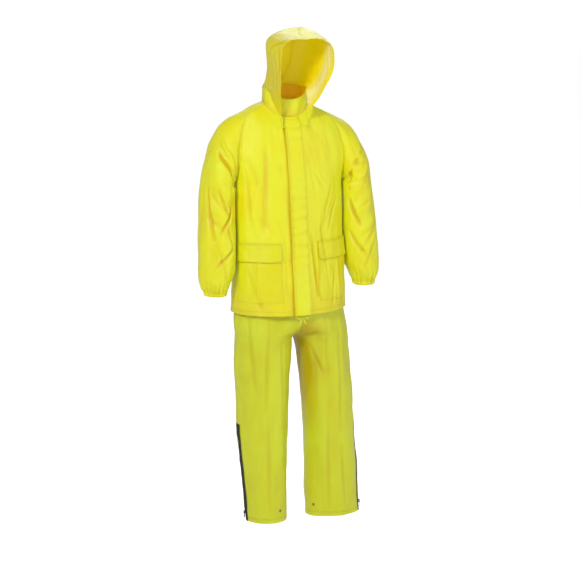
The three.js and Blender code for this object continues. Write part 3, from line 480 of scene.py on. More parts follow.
def share_normals(panels):
    """Normals of sewn panels, the same for all the points that meet on a seam."""
    flat = [panel.points.reshape(-1, 3) for panel in panels]
    starts = np.cumsum([0] + [len(points) for points in flat])
    points = np.concatenate(flat)
    quads = np.concatenate([panel.quads() + start for panel, start in zip(panels, starts)])
    a, b, c, d = (points[quads[:, corner]] for corner in range(4))
    push = np.cross(c - a, d - b)
    rounded = np.round(points * POINTS_PER_MM).astype(np.int64)
    _, merged = np.unique(rounded, axis=0, return_inverse=True)
    merged = merged.reshape(-1)
    sums = np.zeros((merged.max() + 1, 3))
    for corner in range(4):
        np.add.at(sums, merged[quads[:, corner]], push)
    sums /= np.maximum(np.linalg.norm(sums, axis=1, keepdims=True), 1e-12)
    normals = sums[merged]
    for panel, start in zip(panels, starts):
        count = panel.points.shape[0] * panel.points.shape[1]
        panel.normals = normals[start:start + count].reshape(panel.points.shape)


FOLD_REACH = 34
FOLD_ENDS = (0.12, 0.88)


def fold_depth(points, folds, shoulder=0.0, normals=None):
    """Depth of the folds at these points. The shoulder is how far the cloth rises beside each fold.

    With normals, a fold is laid on the cloth from wherever its line runs below or above it.
    """
    depth = np.zeros(points.shape[:-1])
    for row in range(len(folds["depth"])):
        start = np.array([folds["from_" + axis][row] for axis in "xyz"])
        end = np.array([folds["to_" + axis][row] for axis in "xyz"])
        line = end - start
        share = np.clip(((points - start) @ line) / (line @ line), 0, 1)
        offset = points - start - share[..., None] * line
        taper = np.sin(np.pi * mix(*FOLD_ENDS, share))
        if normals is not None:
            through = (offset * normals).sum(axis=-1)
            offset = offset - through[..., None] * normals
            taper = taper * np.exp(-(through / FOLD_REACH) ** 2)
        away = np.linalg.norm(offset, axis=-1) / folds["width"][row]
        depth += folds["depth"][row] * taper * (1 - shoulder * away ** 2) * np.exp(-away ** 2)
    return depth


CLOUD_SHIFT = (17.3, 5.1, 9.7)


def cloud(points, size, seed):
    """Slow, soft unevenness from minus one to one, the same at every run."""
    offset = Vector([seed * shift for shift in CLOUD_SHIFT])
    flat = points.reshape(-1, 3) / size
    values = [noise.noise(Vector(point) + offset) for point in flat]
    return np.array(values).reshape(points.shape[:-1])


CREASE_SHOULDER = 0.9
CREASE_STRENGTH = 2
DRAPE_STRETCH = [1, 1, 0.22]
CRINKLE_STRETCH = [1, 1, 0.5]
CRINKLE_DEPTH = 4.5
CRINKLE_MIDDLE = 0.2
CRINKLE_EVERYWHERE, CRINKLE_ON_FOLDS = 0.35, 0.65
# Shares of the folds, the drape and the crinkles that also go into the painted shade.
FOLD_DEEPENS, DRAPE_DEEPENS, CRINKLE_DEEPENS = 0.35, 0.3, 0.8
WAVE_STRETCH = [1, 1, 0.6]
WAVE_DEPTH = 1.5
RIPPLE_DEPTH = 0.55
DRAPE_SIZE, CRINKLE_SIZE, WAVE_SIZE, RIPPLE_SIZE = 44, 62, 38, 17


def crumple(panels, folds, creases, keep_fold, keep_crease, drape_depth):
    """Moves sewn panels in along their normals by folds, creases and a little unevenness."""
    share_normals(panels)
    for panel in panels:
        points = panel.points
        kept = keep_fold(points)
        folded = fold_depth(points, folds) * kept
        creased = fold_depth(points, creases, CREASE_SHOULDER, panel.normals) * CREASE_STRENGTH
        creased = creased * keep_crease(points)
        drape = cloud(points * DRAPE_STRETCH, DRAPE_SIZE, 3) * drape_depth
        waves = cloud(points * WAVE_STRETCH, WAVE_SIZE, 1) * WAVE_DEPTH
        small = waves + cloud(points, RIPPLE_SIZE, 2) * RIPPLE_DEPTH
        crinkle = CRINKLE_DEPTH * (CRINKLE_MIDDLE - np.abs(cloud(points * CRINKLE_STRETCH, CRINKLE_SIZE, 4)))
        crinkle = crinkle * (CRINKLE_EVERYWHERE + CRINKLE_ON_FOLDS * kept)
        depth = folded + creased + drape * kept + small + crinkle
        # Painted shade: the colour deepens along the creases, folds, drape and crinkles.
        panel.folded = creased + FOLD_DEEPENS * folded + DRAPE_DEEPENS * drape + CRINKLE_DEEPENS * crinkle
        panel.points = points - panel.normals * depth[..., None]
    share_normals(panels)


# Grid lines of the jacket panels, the coarse ones at the pieces that lie on them
FRONT_STOPS = [-1, 0, 0.135, 0.26, 0.37, 0.46, 0.55, 0.68, 0.84, 0.93, 1]
BACK_STOPS = [-1, 0, 0.2, 0.4, 0.6, 0.8, 1]
LOW_STOPS = [JACKET_HEM, -668, -620, -570, -518, -482, -450, -400, -345, -290, UNDERARM]
FRONT_STEP = 8
BACK_STEP = 9
LOW_STEP = 8
ANGLE_STEP = 2.5
FRONT_SHARES = finer(FRONT_STOPS, FRONT_STEP)
BACK_SHARES = finer(BACK_STOPS, BACK_STEP)
SEAM_ANGLES = np.arange(SADDLE_ANGLE, 180 + ANGLE_STEP / 2, ANGLE_STEP)
HEIGHTS = np.concatenate([finer(LOW_STOPS, LOW_STEP)[:-1], seam_height(SEAM_ANGLES[::-1])])
POCKET_INNER, POCKET_PLEAT, POCKET_OUTER = (column * FRONT_STEP for column in (2, 5, 8))
POCKET_BOTTOM, FLAP_BOTTOM, FLAP_TOP = (row * LOW_STEP for row in (1, 4, 6))


def front_panel(side, name):
    return Panel(name, body_points(side, FRONT_SHARES, HEIGHTS, "front"), side < 0)


def back_panel():
    right = body_points(-1, BACK_SHARES[1:][::-1], HEIGHTS, "back")
    left = body_points(1, BACK_SHARES, HEIGHTS, "back")
    return Panel("back", np.concatenate([right, left], axis=1), True)


GATHERS = 18
GATHER_DEPTH = 4.2
GATHER_FULL = 0.95
SHOULDER_ROWS, SLEEVE_ROWS, GATHER_ROWS, CUFF_ROWS = 17, 91, 16, 7
SLEEVE_START = 0.16
GATHER_START = 0.86
CASING_START = 0.965


def sleeve_angles():
    saddle = np.arange(-SADDLE_ANGLE, SADDLE_ANGLE, ANGLE_STEP)
    back = -SEAM_ANGLES[1:-1][::-1]
    return np.concatenate([saddle, SEAM_ANGLES, back])


def gathered(points, along, angles):
    """Puts the elastic's gathers into rings: in and out by turns, a little uneven."""
    turned = np.radians(angles)

    def sway(middle, swing, turns, shift):
        return middle + swing * np.sin(turned * turns + shift)

    uneven = sway(middle=0.75, swing=0.35, turns=5, shift=1.3)
    start = sway(middle=0.85, swing=0.022, turns=7, shift=0.4)
    grow = smooth_step(along[:, None], start, GATHER_FULL)
    depth = GATHER_DEPTH * grow * uneven * np.cos(turned * GATHERS + 0.5 * np.sin(turned * 3))
    centre = points.mean(axis=1, keepdims=True)
    outward = points - centre
    outward[..., 2] = 0
    outward /= np.linalg.norm(outward, axis=-1, keepdims=True)
    return points + outward * depth[..., None]


def sleeve_grid(side, along):
    angles = sleeve_angles()
    rings = sleeve_rings(side, np.maximum(along, SLEEVE_START), angles)
    near = along < SLEEVE_START
    share = (along[near] / SLEEVE_START)[:, None, None]
    rings[near] = mix(seam_loop(side, angles)[None], rings[near], share)
    return gathered(rings, along, angles)


PUCKERS = 34
PUCKER_REACH = 9
PUCKER_DEPTH = 1.3
PUCKER_DRIFT, DRIFT_PER_COLUMN, STRENGTH_PER_COLUMN, STRENGTH_PER_SEED = 1.7, 0.31, 0.173, 2.1


def pucker_seam(points, seed):
    """Small puckers that run away from the first row of a grid and die out."""
    steps = np.linalg.norm(np.diff(points, axis=0), axis=-1)
    away = np.concatenate([np.zeros((1, points.shape[1])), np.cumsum(steps, axis=0)])
    column = np.arange(points.shape[1])
    drift = PUCKER_DRIFT * np.sin(column * DRIFT_PER_COLUMN + seed)
    phase = column * PUCKERS * 2 * np.pi / points.shape[1] + drift
    strength = 0.5 + 0.5 * np.sin(column * STRENGTH_PER_COLUMN + STRENGTH_PER_SEED * seed)
    rise = (away / PUCKER_REACH) * np.exp(1 - away / PUCKER_REACH)
    return PUCKER_DEPTH * rise * np.sin(phase) * strength


def sleeve_panel(side, name):
    along = np.concatenate([
        np.linspace(0, SLEEVE_START, SHOULDER_ROWS)[:-1],
        np.linspace(SLEEVE_START, GATHER_START, SLEEVE_ROWS)[:-1],
        np.linspace(GATHER_START, CASING_START, GATHER_ROWS),
    ])
    panel = Panel(name, sleeve_grid(side, along), side < 0, closed=True)
    share_normals([panel])
    pucker = pucker_seam(panel.points, side + 2)
    pucker[0] = 0
    panel.points = panel.points + panel.normals * pucker[..., None]
    return panel


def cuff_panel(side, name):
    return Panel(name, sleeve_grid(side, np.linspace(CASING_START, 1, CUFF_ROWS)), side < 0, closed=True)


# Collar and hood
COLLAR_FRONT, COLLAR_BACK = 66, 52
COLLAR_FRONT_Y, COLLAR_BACK_Y = -57, 30
COLLAR_NARROWS = 0.95
COLLAR_LEAN = (-4, 4)
COLLAR_ROWS = 15


def neck_points():
    """The neck seam from the flap's free edge round the back and over the flap's own width."""
    saddle = np.arange(SADDLE_ANGLE, -SADDLE_ANGLE - 1, -ANGLE_STEP)[1:-1]
    left = [
        body_points(1, FRONT_SHARES, [0], "front")[0],
        seam_loop(1, saddle),
        body_points(1, BACK_SHARES[::-1], [0], "back")[0],
    ]
    right = [
        body_points(-1, BACK_SHARES, [0], "back")[0][1:],
        seam_loop(-1, saddle[::-1]),
        body_points(-1, FRONT_SHARES[::-1], [0], "front")[0][:-FRONT_STEP],
    ]
    under_flap = body_points(-1, FRONT_SHARES[:FRONT_STEP + 1][::-1], [0], "front")[0][:-1]
    return np.concatenate([under_flap, *left, *right])


def collar_rise(points, share):
    """The neck seam raised to this share of the collar's height, a little narrower as it rises."""
    to_back = smooth_step(points[..., 1], COLLAR_FRONT_Y, COLLAR_BACK_Y)
    rise = mix(COLLAR_FRONT, COLLAR_BACK, to_back)
    spread = mix(1, COLLAR_NARROWS, share)
    forward = mix(*COLLAR_LEAN, to_back) * share
    x, y, z = coordinates(points)
    return grid_of(x * spread, y + forward, z + rise * share)


def collar_panel():
    loop = neck_points()
    rows = [collar_rise(loop, share) for share in np.linspace(0, 1, COLLAR_ROWS)]
    return Panel("collar", rows, False)


HOOD_SIDE_SHARE = 0.56
HOOD_SEWN_SHARE = 0.76
HOOD_WING_STEPS = 4
HOOD_WING_BULGE = (5, -9, -8)
HOOD_FRONT_STOPS = [1, 0.93, 0.84, 0.68]
HOOD_BACK_ROUNDNESS = 0.9
HOOD_TABLE_ROWS, HOOD_ROWS_MADE, HOOD_COLUMNS_MADE = 7, 78, 71
CROWN_ROUNDING = 5.5
CROWN_REACH = 13
CROWN_START, CROWN_FULL = 5, 6.6


def hood_rows(side, rows, shares):
    """Rows of a hood half, from the back seam at share nought to the face opening at share one."""
    row = upright(table_at(HOOD, "row", rows))
    shares = np.asarray(shares, float)[None]
    drop = mix(row["back_z"], row["face_z"], shares ** row["power"])
    lean = row["lean"] + row["sway"] * np.maximum(0, 1 - shares / HOOD_SIDE_SHARE)
    turn = np.pi / 2 * (1 - np.minimum(shares / HOOD_SIDE_SHARE, 1))
    ahead = np.maximum(0, (shares - HOOD_SIDE_SHARE) / (1 - HOOD_SIDE_SHARE))
    behind = shares < HOOD_SIDE_SHARE
    x_back = row["width"] * np.maximum(np.cos(turn), 0) ** HOOD_BACK_ROUNDNESS
    y_back = row["side_y"] + (row["back_y"] - row["side_y"]) * np.sin(turn)
    x_front = mix(row["width"], row["face_x"], ahead ** 2)
    y_front = mix(row["side_y"], row["face_y"], ahead)
    wide = np.where(behind, x_back, x_front)
    near_crown = smooth_step(rows, CROWN_START, CROWN_FULL)[:, None]
    drop = drop - CROWN_ROUNDING * np.exp(-wide / CROWN_REACH) * near_crown
    return grid_of(side * wide + lean, np.where(behind, y_back, y_front), drop)


def hood_lower_edge(side, shares):
    """The hood's lower edge: sewn to the collar's top edge, then a free front wing."""
    back = body_points(side, BACK_STOPS, [0], "back")[0]
    saddle = seam_loop(side, [0])
    front = body_points(side, HOOD_FRONT_STOPS, [0], "front")[0]
    stops = collar_rise(np.concatenate([back, saddle, front]), 1)
    tip = hood_rows(side, [0], [1])[0, 0]
    wing = []
    out, forward, up = HOOD_WING_BULGE
    for step in range(1, HOOD_WING_STEPS + 1):
        ahead = step / HOOD_WING_STEPS
        bulge = math.sin(math.pi * ahead)
        wing.append(mix(stops[-1], tip, ahead) + np.array([side * out, forward, up]) * bulge)
    edge = np.concatenate([stops, wing])
    sewn = np.linspace(0, HOOD_SEWN_SHARE, len(stops))
    free = np.linspace(HOOD_SEWN_SHARE, 1, HOOD_WING_STEPS + 1)[1:]
    table = table_of(["share", "x", "y", "z"], np.column_stack([np.concatenate([sewn, free]), edge]))
    row = table_at(table, "share", shares)
    return grid_of(row["x"], row["y"], row["z"])


def hood_panel(side, name):
    shares = np.linspace(0, 1, HOOD_COLUMNS_MADE)
    rows = np.linspace(0, HOOD_TABLE_ROWS, HOOD_ROWS_MADE)
    points = hood_rows(side, rows, shares)
    offset = hood_lower_edge(side, shares) - points[0]
    fade = (1 - smooth_step(rows, 0, 1))[:, None, None]
    return Panel(name, points + offset[None] * fade, side > 0)


# Trousers
LEG_STOPS = [0, 0.14, 0.28, 0.42, 0.56, 0.7, 0.84, 0.945, 1]
WAISTBAND_ROWS = 7
LEG_STEP = 7
LEG_ROW_STEP = 10
LEG_SHARES = finer(LEG_STOPS, LEG_STEP)
LEG_HEIGHT_STOPS = [
    TROUSER_HEM, -1450, -1376, -1290, -1210, ZIP_TOP, -1060, -980, -910, -853, CROTCH,
    -787, -755, -715, -660, -600, WAIST,
]
LEG_HEIGHTS = finer(LEG_HEIGHT_STOPS, LEG_ROW_STEP)
ZIP_ROWS = 5 * LEG_ROW_STEP
ZIP_COLUMN = 7 * LEG_STEP


def leg_points(side, part, shares, heights):
    table = LEG_LEFT if side > 0 else LEG_RIGHT
    row = upright(table_at(table, "height", heights))
    start = np.arccos(np.clip(row["leg_x"] / row["half"], -1, 1))
    seam = np.pi + np.radians(row["seam_turn"]) * (-1 if part == "front" else 1)
    angle = mix(start, seam, np.asarray(shares, float)[None])
    ahead = (angle <= np.pi) == (part == "front")
    depth = np.where(ahead, -row["front"], row["back"])
    x = side * (row["leg_x"] - row["half"] * np.cos(angle)) + row["lean"]
    y = row["centre_y"] + depth * np.abs(np.sin(angle))
    z = np.broadcast_to(np.asarray(heights, float)[:, None], x.shape)
    return grid_of(x, y, z)


def leg_panel(side, part, name):
    return Panel(name, leg_points(side, part, LEG_SHARES, LEG_HEIGHTS), (side < 0) == (part == "front"))


def waistband_panel():
    left_front, left_back, right_back, right_front = (
        leg_points(side, part, LEG_SHARES, [WAIST])[0]
        for side, part in ((1, "front"), (1, "back"), (-1, "back"), (-1, "front"))
    )
    loop = np.concatenate([
        left_front[:-1], left_back[::-1][:-1], right_back[:-1], right_front[::-1][:-1],
    ])
    rows = [loop + [0, 0, rise] for rise in np.linspace(0, WAISTBAND, WAISTBAND_ROWS)]
    return Panel("waistband", rows, False, closed=True)


# Pieces that lie on the panels
def on_panel(name, panel, rows, columns, lift):
    """A piece laid on a panel at these fractional rows and columns, lifted off it by so much."""
    rows, columns = np.broadcast_arrays(np.asarray(rows, float), np.asarray(columns, float))
    low_row = np.clip(np.floor(rows).astype(int), 0, panel.points.shape[0] - 2)
    low_column = np.clip(np.floor(columns).astype(int), 0, panel.points.shape[1] - 2)
    up = (rows - low_row)[..., None]
    across = (columns - low_column)[..., None]

    def sample(grid):
        low = mix(grid[low_row, low_column], grid[low_row, low_column + 1], across)
        high = mix(grid[low_row + 1, low_column], grid[low_row + 1, low_column + 1], across)
        return mix(low, high, up)

    normals = sample(panel.normals)
    normals /= np.linalg.norm(normals, axis=-1, keepdims=True)
    return Panel(name, sample(panel.points) + normals * np.asarray(lift)[..., None], panel.flip)


LAID = 0.5 + CLOTH
POCKET_ROW_PITCH, POCKET_COLUMN_PITCH, LAST_INCLUDED = 0.8, 0.4, 0.1
PLEAT_RISE, PLEAT_WIDTH, PLEAT_LAY = 2.6, 0.1, 1.4
PLEAT_LAY_SPAN = (-0.5, -0.1)
POCKET_PUFF, PUFF_ACROSS, PUFF_UP = 1.8, 0.6, 5
CORNER_SHARE, CORNER_RISE = 0.07, 0.14
POCKET_FLAP_OVERHANG = 0.15
POCKET_FLAP_LIFT = (7.2, 2.2)
POCKET_FLAP_WAVE, POCKET_FLAP_TURNS, POCKET_FLAP_CURVE = 0.8, 9, 0.6


def pocket_panel(panel, name):
    rows = np.arange(POCKET_BOTTOM, FLAP_TOP - LOW_STEP + LAST_INCLUDED, POCKET_ROW_PITCH)[:, None]
    columns = np.arange(POCKET_INNER, POCKET_OUTER + LAST_INCLUDED, POCKET_COLUMN_PITCH)[None]
    from_pleat = (columns - POCKET_PLEAT) / FRONT_STEP
    pleat = PLEAT_RISE * np.exp(-(from_pleat / PLEAT_WIDTH) ** 2)
    pleat = pleat + PLEAT_LAY * smooth_step(-np.abs(from_pleat), *PLEAT_LAY_SPAN)
    edge = np.minimum(columns - POCKET_INNER, POCKET_OUTER - columns) / FRONT_STEP
    off_bottom = smooth_step(rows, POCKET_BOTTOM, POCKET_BOTTOM + PUFF_UP)
    puff = POCKET_PUFF * smooth_step(edge, 0, PUFF_ACROSS) * off_bottom
    below_flap = 1 - smooth_step(rows, FLAP_BOTTOM - 2, FLAP_BOTTOM + 1)
    return on_panel(name, panel, rows, columns, LAID + (pleat + puff) * below_flap)


def flap_outline(count_down, count_across):
    """Unit grid of a flap whose two lower corners are rounded."""
    across = np.linspace(0, 1, count_across)
    from_end = np.minimum(across, 1 - across)
    round_off = 1 - np.sqrt(np.clip(1 - (1 - from_end / CORNER_SHARE) ** 2, 0, 1))
    rise = np.where(from_end < CORNER_SHARE, round_off, 0) * CORNER_RISE
    down = np.linspace(0, 1, count_down)[:, None]
    return rise[None] + (1 - rise[None]) * down, np.broadcast_to(across, (count_down, count_across))


def pocket_flap_panel(panel, name):
    up, across = flap_outline(count_down=21, count_across=61)
    rows = mix(FLAP_BOTTOM, FLAP_TOP, up)
    columns = mix(POCKET_INNER - POCKET_FLAP_OVERHANG, POCKET_OUTER + POCKET_FLAP_OVERHANG, across)
    wave = POCKET_FLAP_WAVE * np.sin(across * POCKET_FLAP_TURNS + 1) * (1 - up)
    lift = LAID + mix(*POCKET_FLAP_LIFT, up ** POCKET_FLAP_CURVE) + wave
    return on_panel(name, panel, rows, columns, lift)


def strip_panel(name, first, second, columns, rows, lift, flip):
    """A strip across the seam of two panels: from a column of the first one to the same one of the second."""
    returning = columns[:-1][::-1]

    def joined(first_grid, second_grid):
        return np.concatenate([first_grid[rows][:, columns], second_grid[rows][:, returning]], axis=1)

    points = joined(first.points, second.points)
    normals = joined(first.normals, second.normals)
    return Panel(name, points + normals * lift[..., None], flip)


# How much painted shade deepens the colour: towards the jacket's hem, low on the collar, on the hood's
# wearer's-right half, under and along the storm flap's free edge where the cloth lies doubled, and in the
# flap's puckers
FLAP_SHADE = 8
HEM_SHADE = 3.4
COLLAR_SHADE = 4
FLAP_PUCKER_SHADE = 2.4
HOOD_SHADE = 4


STORM_FLAP_LIFT, STORM_FLAP_BOW, STORM_FLAP_GAP = 1.2, 0.9, 4.5
GAP_FADE, PUCKER_FADE = 0.12, 0.35


def ripple(height, pitch, drift, drift_pitch):
    """A wave up the cloth whose pitch drifts to and fro."""
    return np.sin(height / pitch + drift * np.sin(height / drift_pitch))


def swell(height, middle, swing, length, shift):
    """A slow change up the cloth."""
    return middle + swing * np.sin(height / length + shift)


def flap_puckers(height, away, depth, pitch, drift, drift_pitch):
    """Puckers along a seam or an edge that die out away from it."""
    return depth * ripple(height, pitch, drift, drift_pitch) * np.exp(-away / PUCKER_FADE)


def storm_flap_panel(right, left):
    columns = list(range(FRONT_STEP, -1, -1))
    rows = list(range(len(HEIGHTS)))
    height = HEIGHTS[:, None]
    across = np.linspace(0, 1, 2 * FRONT_STEP + 1)[None]
    pucker = flap_puckers(height, across, depth=1.5, pitch=5.6, drift=1.6, drift_pitch=31)
    pucker = pucker + flap_puckers(height, 1 - across, depth=1.8, pitch=6.4, drift=2, drift_pitch=43)
    pucker = pucker * swell(height, middle=0.55, swing=0.45, length=71, shift=0.9)
    gap = STORM_FLAP_GAP * np.exp(-across / GAP_FADE)
    gap = gap * swell(height, middle=0.8, swing=0.4, length=66, shift=0.7)
    lift = LAID + STORM_FLAP_LIFT + gap + STORM_FLAP_BOW * np.sin(np.pi * across) + pucker
    flap = strip_panel("storm_flap", right, left, columns, rows, lift, False)
    # Painted shade in the valleys of the flap's puckers.
    flap.folded = -FLAP_PUCKER_SHADE * pucker
    return flap


TAPE_LIFT, TAPE_WAVE = 0.2, 0.35


def zip_tape_panel(name, front, back, side):
    columns = list(range(ZIP_COLUMN, ZIP_COLUMN + LEG_STEP + 1))
    rows = list(range(ZIP_ROWS + 1))
    height = LEG_HEIGHTS[rows][:, None]
    across = np.linspace(0, 1, 2 * LEG_STEP + 1)[None]
    wave = TAPE_WAVE * ripple(height, pitch=11, drift=2, drift_pitch=50) * np.abs(2 * across - 1)
    return strip_panel(name, front, back, columns, rows, LAID + TAPE_LIFT + wave, side < 0)


# Objects of the suit
def add_object(name, data):
    thing = bpy.data.objects.new(name, data)
    bpy.context.scene.collection.objects.link(thing)
    return thing


def put_on_suit(piece, replaced=()):
    """The piece rides on the suit, in the place of these solids."""
    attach(piece, SUIT)
    if replaced:
        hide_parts(*replaced)
    return piece


def measures(points):
    """Lengths over the cloth from the first column and row, as a seamstress would measure them."""
    across = np.linalg.norm(np.diff(points, axis=1), axis=-1)
    down = np.linalg.norm(np.diff(points, axis=0), axis=-1)
    from_side = np.concatenate([np.zeros((len(points), 1)), np.cumsum(across, axis=1)], axis=1)
    from_low = np.concatenate([np.zeros((1, points.shape[1])), np.cumsum(down, axis=0)], axis=0)
    return from_side, from_low


def set_measure(mesh, name, values):
    attribute = mesh.attributes.new(name, "FLOAT", "POINT")
    attribute.data.foreach_set("value", values.astype(np.float32))


def cloth_object(panel, thickness, material):
    """The panel as a thin closed shell that replaces its solid."""
    outer = panel.points.reshape(-1, 3)
    inner = outer - panel.normals.reshape(-1, 3) * thickness
    count = len(outer)
    quads = panel.quads()
    rim = panel.rim()
    sides = np.column_stack([rim[:, 1], rim[:, 0], rim[:, 0] + count, rim[:, 1] + count])
    faces = np.concatenate([quads, quads[:, ::-1] + count, sides])
    mesh = bpy.data.meshes.new(panel.name + "_cloth")
    mesh.from_pydata((np.concatenate([outer, inner]) * MM).tolist(), [], faces.tolist())
    mesh.polygons.foreach_set("use_smooth", np.ones(len(faces), bool))
    from_side, from_low = measures(panel.points)
    distances = {
        "from_side": from_side, "to_side": from_side[:, -1:] - from_side,
        "from_low": from_low, "to_top": from_low[-1:] - from_low,
    }
    for name, values in distances.items():
        set_measure(mesh, name, np.tile(values.reshape(-1) * MM, 2))
    set_measure(mesh, "folded", np.tile(panel.folded.reshape(-1), 2))
    set_measure(mesh, "inside", np.repeat([0.0, 1.0], count))
    side_edges = np.sort(np.concatenate([rim, rim + count]), axis=1)
    sharp = {tuple(pair) for pair in side_edges.tolist()}
    for edge in mesh.edges:
        if tuple(sorted(edge.vertices)) in sharp:
            edge.use_edge_sharp = True
    mesh.update()
    mesh.materials.append(material)
    return put_on_suit(add_object(panel.name + "_cloth", mesh), [panel.name])


# Materials
def link(tree, source, target):
    tree.links.new(source, target)


def new_group(name, inputs, outputs):
    """An empty node group with named inputs (socket kind, default) and outputs."""
    group = bpy.data.node_groups.new(name, "ShaderNodeTree")
    for label, (kind, value) in inputs.items():
        socket = group.interface.new_socket(label, in_out="INPUT", socket_type=kind)
        socket.default_value = value
    for label, kind in outputs.items():
        group.interface.new_socket(label, in_out="OUTPUT", socket_type=kind)
    start = group.nodes.new("NodeGroupInput")
    end = group.nodes.new("NodeGroupOutput")
    return group, start, end


def give(tree, socket, value):
    """A plain value or a link, whichever it is."""
    if isinstance(value, (int, float, tuple)):
        socket.default_value = value
    else:
        link(tree, value, socket)


def math_node(tree, operation, *values, clamp=False):
    node = tree.nodes.new("ShaderNodeMath")
    node.operation = operation
    node.use_clamp = clamp
    for socket, value in zip(node.inputs, values):
        give(tree, socket, value)
    return node.outputs[0]


def mix_colour(tree, factor, first, second):
    node = tree.nodes.new("ShaderNodeMix")
    node.data_type = "RGBA"
    for label, value in (("Factor", factor), ("A", first), ("B", second)):
        give(tree, node.inputs[label], value)
    return node.outputs["Result"]


def measured(tree, name):
    node = tree.nodes.new("ShaderNodeAttribute")
    node.attribute_name = name
    return node.outputs["Fac"]


def placed(tree, source, **inputs):
    """A copy of a node group in a material, with values or links by input name."""
    node = tree.nodes.new("ShaderNodeGroup")
    node.node_tree = source
    for label, value in inputs.items():
        give(tree, node.inputs[label.replace("_", " ")], value)
    return node


def noise_on(tree, scale, detail=2.0):
    """Noise laid on the object's own coordinates."""
    place = tree.nodes.new("ShaderNodeTexCoord")
    patches = tree.nodes.new("ShaderNodeTexNoise")
    patches.inputs["Scale"].default_value = scale
    patches.inputs["Detail"].default_value = detail
    link(tree, place.outputs["Object"], patches.inputs["Vector"])
    return patches.outputs["Fac"]


def add_bump(tree, shader, height, strength, distance):
    bump = tree.nodes.new("ShaderNodeBump")
    bump.inputs["Strength"].default_value = strength
    bump.inputs["Distance"].default_value = distance
    link(tree, height, bump.inputs["Height"])
    link(tree, bump.outputs["Normal"], shader.inputs["Normal"])


def tinted(colour, red=1, green=1, blue=1):
    """A colour for a socket, its parts taken down or up."""
    return (colour[0] * red, colour[1] * green, colour[2] * blue, 1)


FLOAT = "NodeSocketFloat"
THREAD_PITCH, TAPE_THREAD_PITCH = 0.0009, 0.0012
STITCH_LENGTH, STITCH_GAP = 0.0034, 0.28
THREAD_REACH, GROOVE_REACH = 0.0006, 0.0022
CRINKLES_PER_METRE = (30.0, 30.0, 9.0)


def weave_group():
    """Plain weave under a coating: a fine thread relief and soft patches."""
    group, start, end = new_group(
        "Coated weave",
        {"Across": (FLOAT, 0.0), "Up": (FLOAT, 0.0), "Thread": (FLOAT, THREAD_PITCH)},
        {"Relief": FLOAT, "Patches": FLOAT, "Crinkle": FLOAT},
    )
    waves = []
    for way in ("Across", "Up"):
        turns = math_node(group, "DIVIDE", start.outputs[way], start.outputs["Thread"])
        waves.append(math_node(group, "SINE", math_node(group, "MULTIPLY", turns, math.pi)))
    link(group, math_node(group, "MULTIPLY", *waves), end.inputs["Relief"])
    link(group, noise_on(group, scale=7.0, detail=3.0), end.inputs["Patches"])
    place = group.nodes.new("ShaderNodeTexCoord")
    stretched = group.nodes.new("ShaderNodeMapping")
    stretched.inputs["Scale"].default_value = CRINKLES_PER_METRE
    link(group, place.outputs["Object"], stretched.inputs["Vector"])
    crinkle = group.nodes.new("ShaderNodeTexNoise")
    crinkle.noise_type = "RIDGED_MULTIFRACTAL"
    crinkle.inputs["Scale"].default_value = 1.0
    crinkle.inputs["Detail"].default_value = 3.0
    link(group, stretched.outputs["Vector"], crinkle.inputs["Vector"])
    link(group, crinkle.outputs["Fac"], end.inputs["Crinkle"])
    return group


def stitch_group():
    """One row of stitches at a distance from an edge: thread mask and the dimple along it."""
    group, start, end = new_group(
        "Stitch row",
        {"From edge": (FLOAT, 0.0), "Along": (FLOAT, 0.0), "Offset": (FLOAT, 0.002)},
        {"Thread": FLOAT, "Groove": FLOAT},
    )
    offset = math_node(group, "SUBTRACT", start.outputs["From edge"], start.outputs["Offset"])
    away = math_node(group, "ABSOLUTE", offset)
    line = math_node(group, "SUBTRACT", 1.0, math_node(group, "DIVIDE", away, THREAD_REACH), clamp=True)
    turns = math_node(group, "DIVIDE", start.outputs["Along"], STITCH_LENGTH)
    dash = math_node(group, "GREATER_THAN", math_node(group, "FRACT", turns), STITCH_GAP)
    link(group, math_node(group, "MULTIPLY", line, dash), end.inputs["Thread"])
    groove = math_node(group, "SUBTRACT", 1.0, math_node(group, "DIVIDE", away, GROOVE_REACH), clamp=True)
    link(group, groove, end.inputs["Groove"])
    return group


WEAVE = weave_group()
STITCH = stitch_group()


def new_material(name):
    material = bpy.data.materials.new(name)
    material.use_nodes = True
    tree = material.node_tree
    return material, tree, tree.nodes["Principled BSDF"]


# Painted shade: how strongly the shade measure deepens the colour, and the deeper, more orange colour it goes
# to.
PAINTED_SHADE_STRENGTH = 0.115
FOLD_SHADE = (0.86, 0.68, 0.3)
SEAM_SHADE = (0.86, 0.68)
SEAM_STRENGTH = 0.3
THREAD_PALER = 2.5
PATCH_CONTRAST, PATCH_SHIFT = 1.8, -0.4
RELIEF_HEIGHT, CRINKLE_HEIGHT, GROOVE_HEIGHT, THREAD_HEIGHT = 0.04, 0.8, -0.35, 0.3
SHINE_CHANGE, SHINE_LEAST = 0.16, 0.27
CLOTH_SHEEN, CLOTH_SHEEN_SPREAD, CLOTH_SPECULAR = 0.03, 0.4, 0.42
# Painted sheen: a whitish band on the hood's inside near the face opening, for light reflected off and
# shining through the coated inside.
PAINTED_SHEEN_COLOUR, PAINTED_SHEEN_STRENGTH = (0.82, 0.8, 0.5, 1), 0.75
PAINTED_SHEEN_MIDDLE = 0.06
PAINTED_SHEEN_HALF = 0.055
LIGHT_THROUGH = 0.07


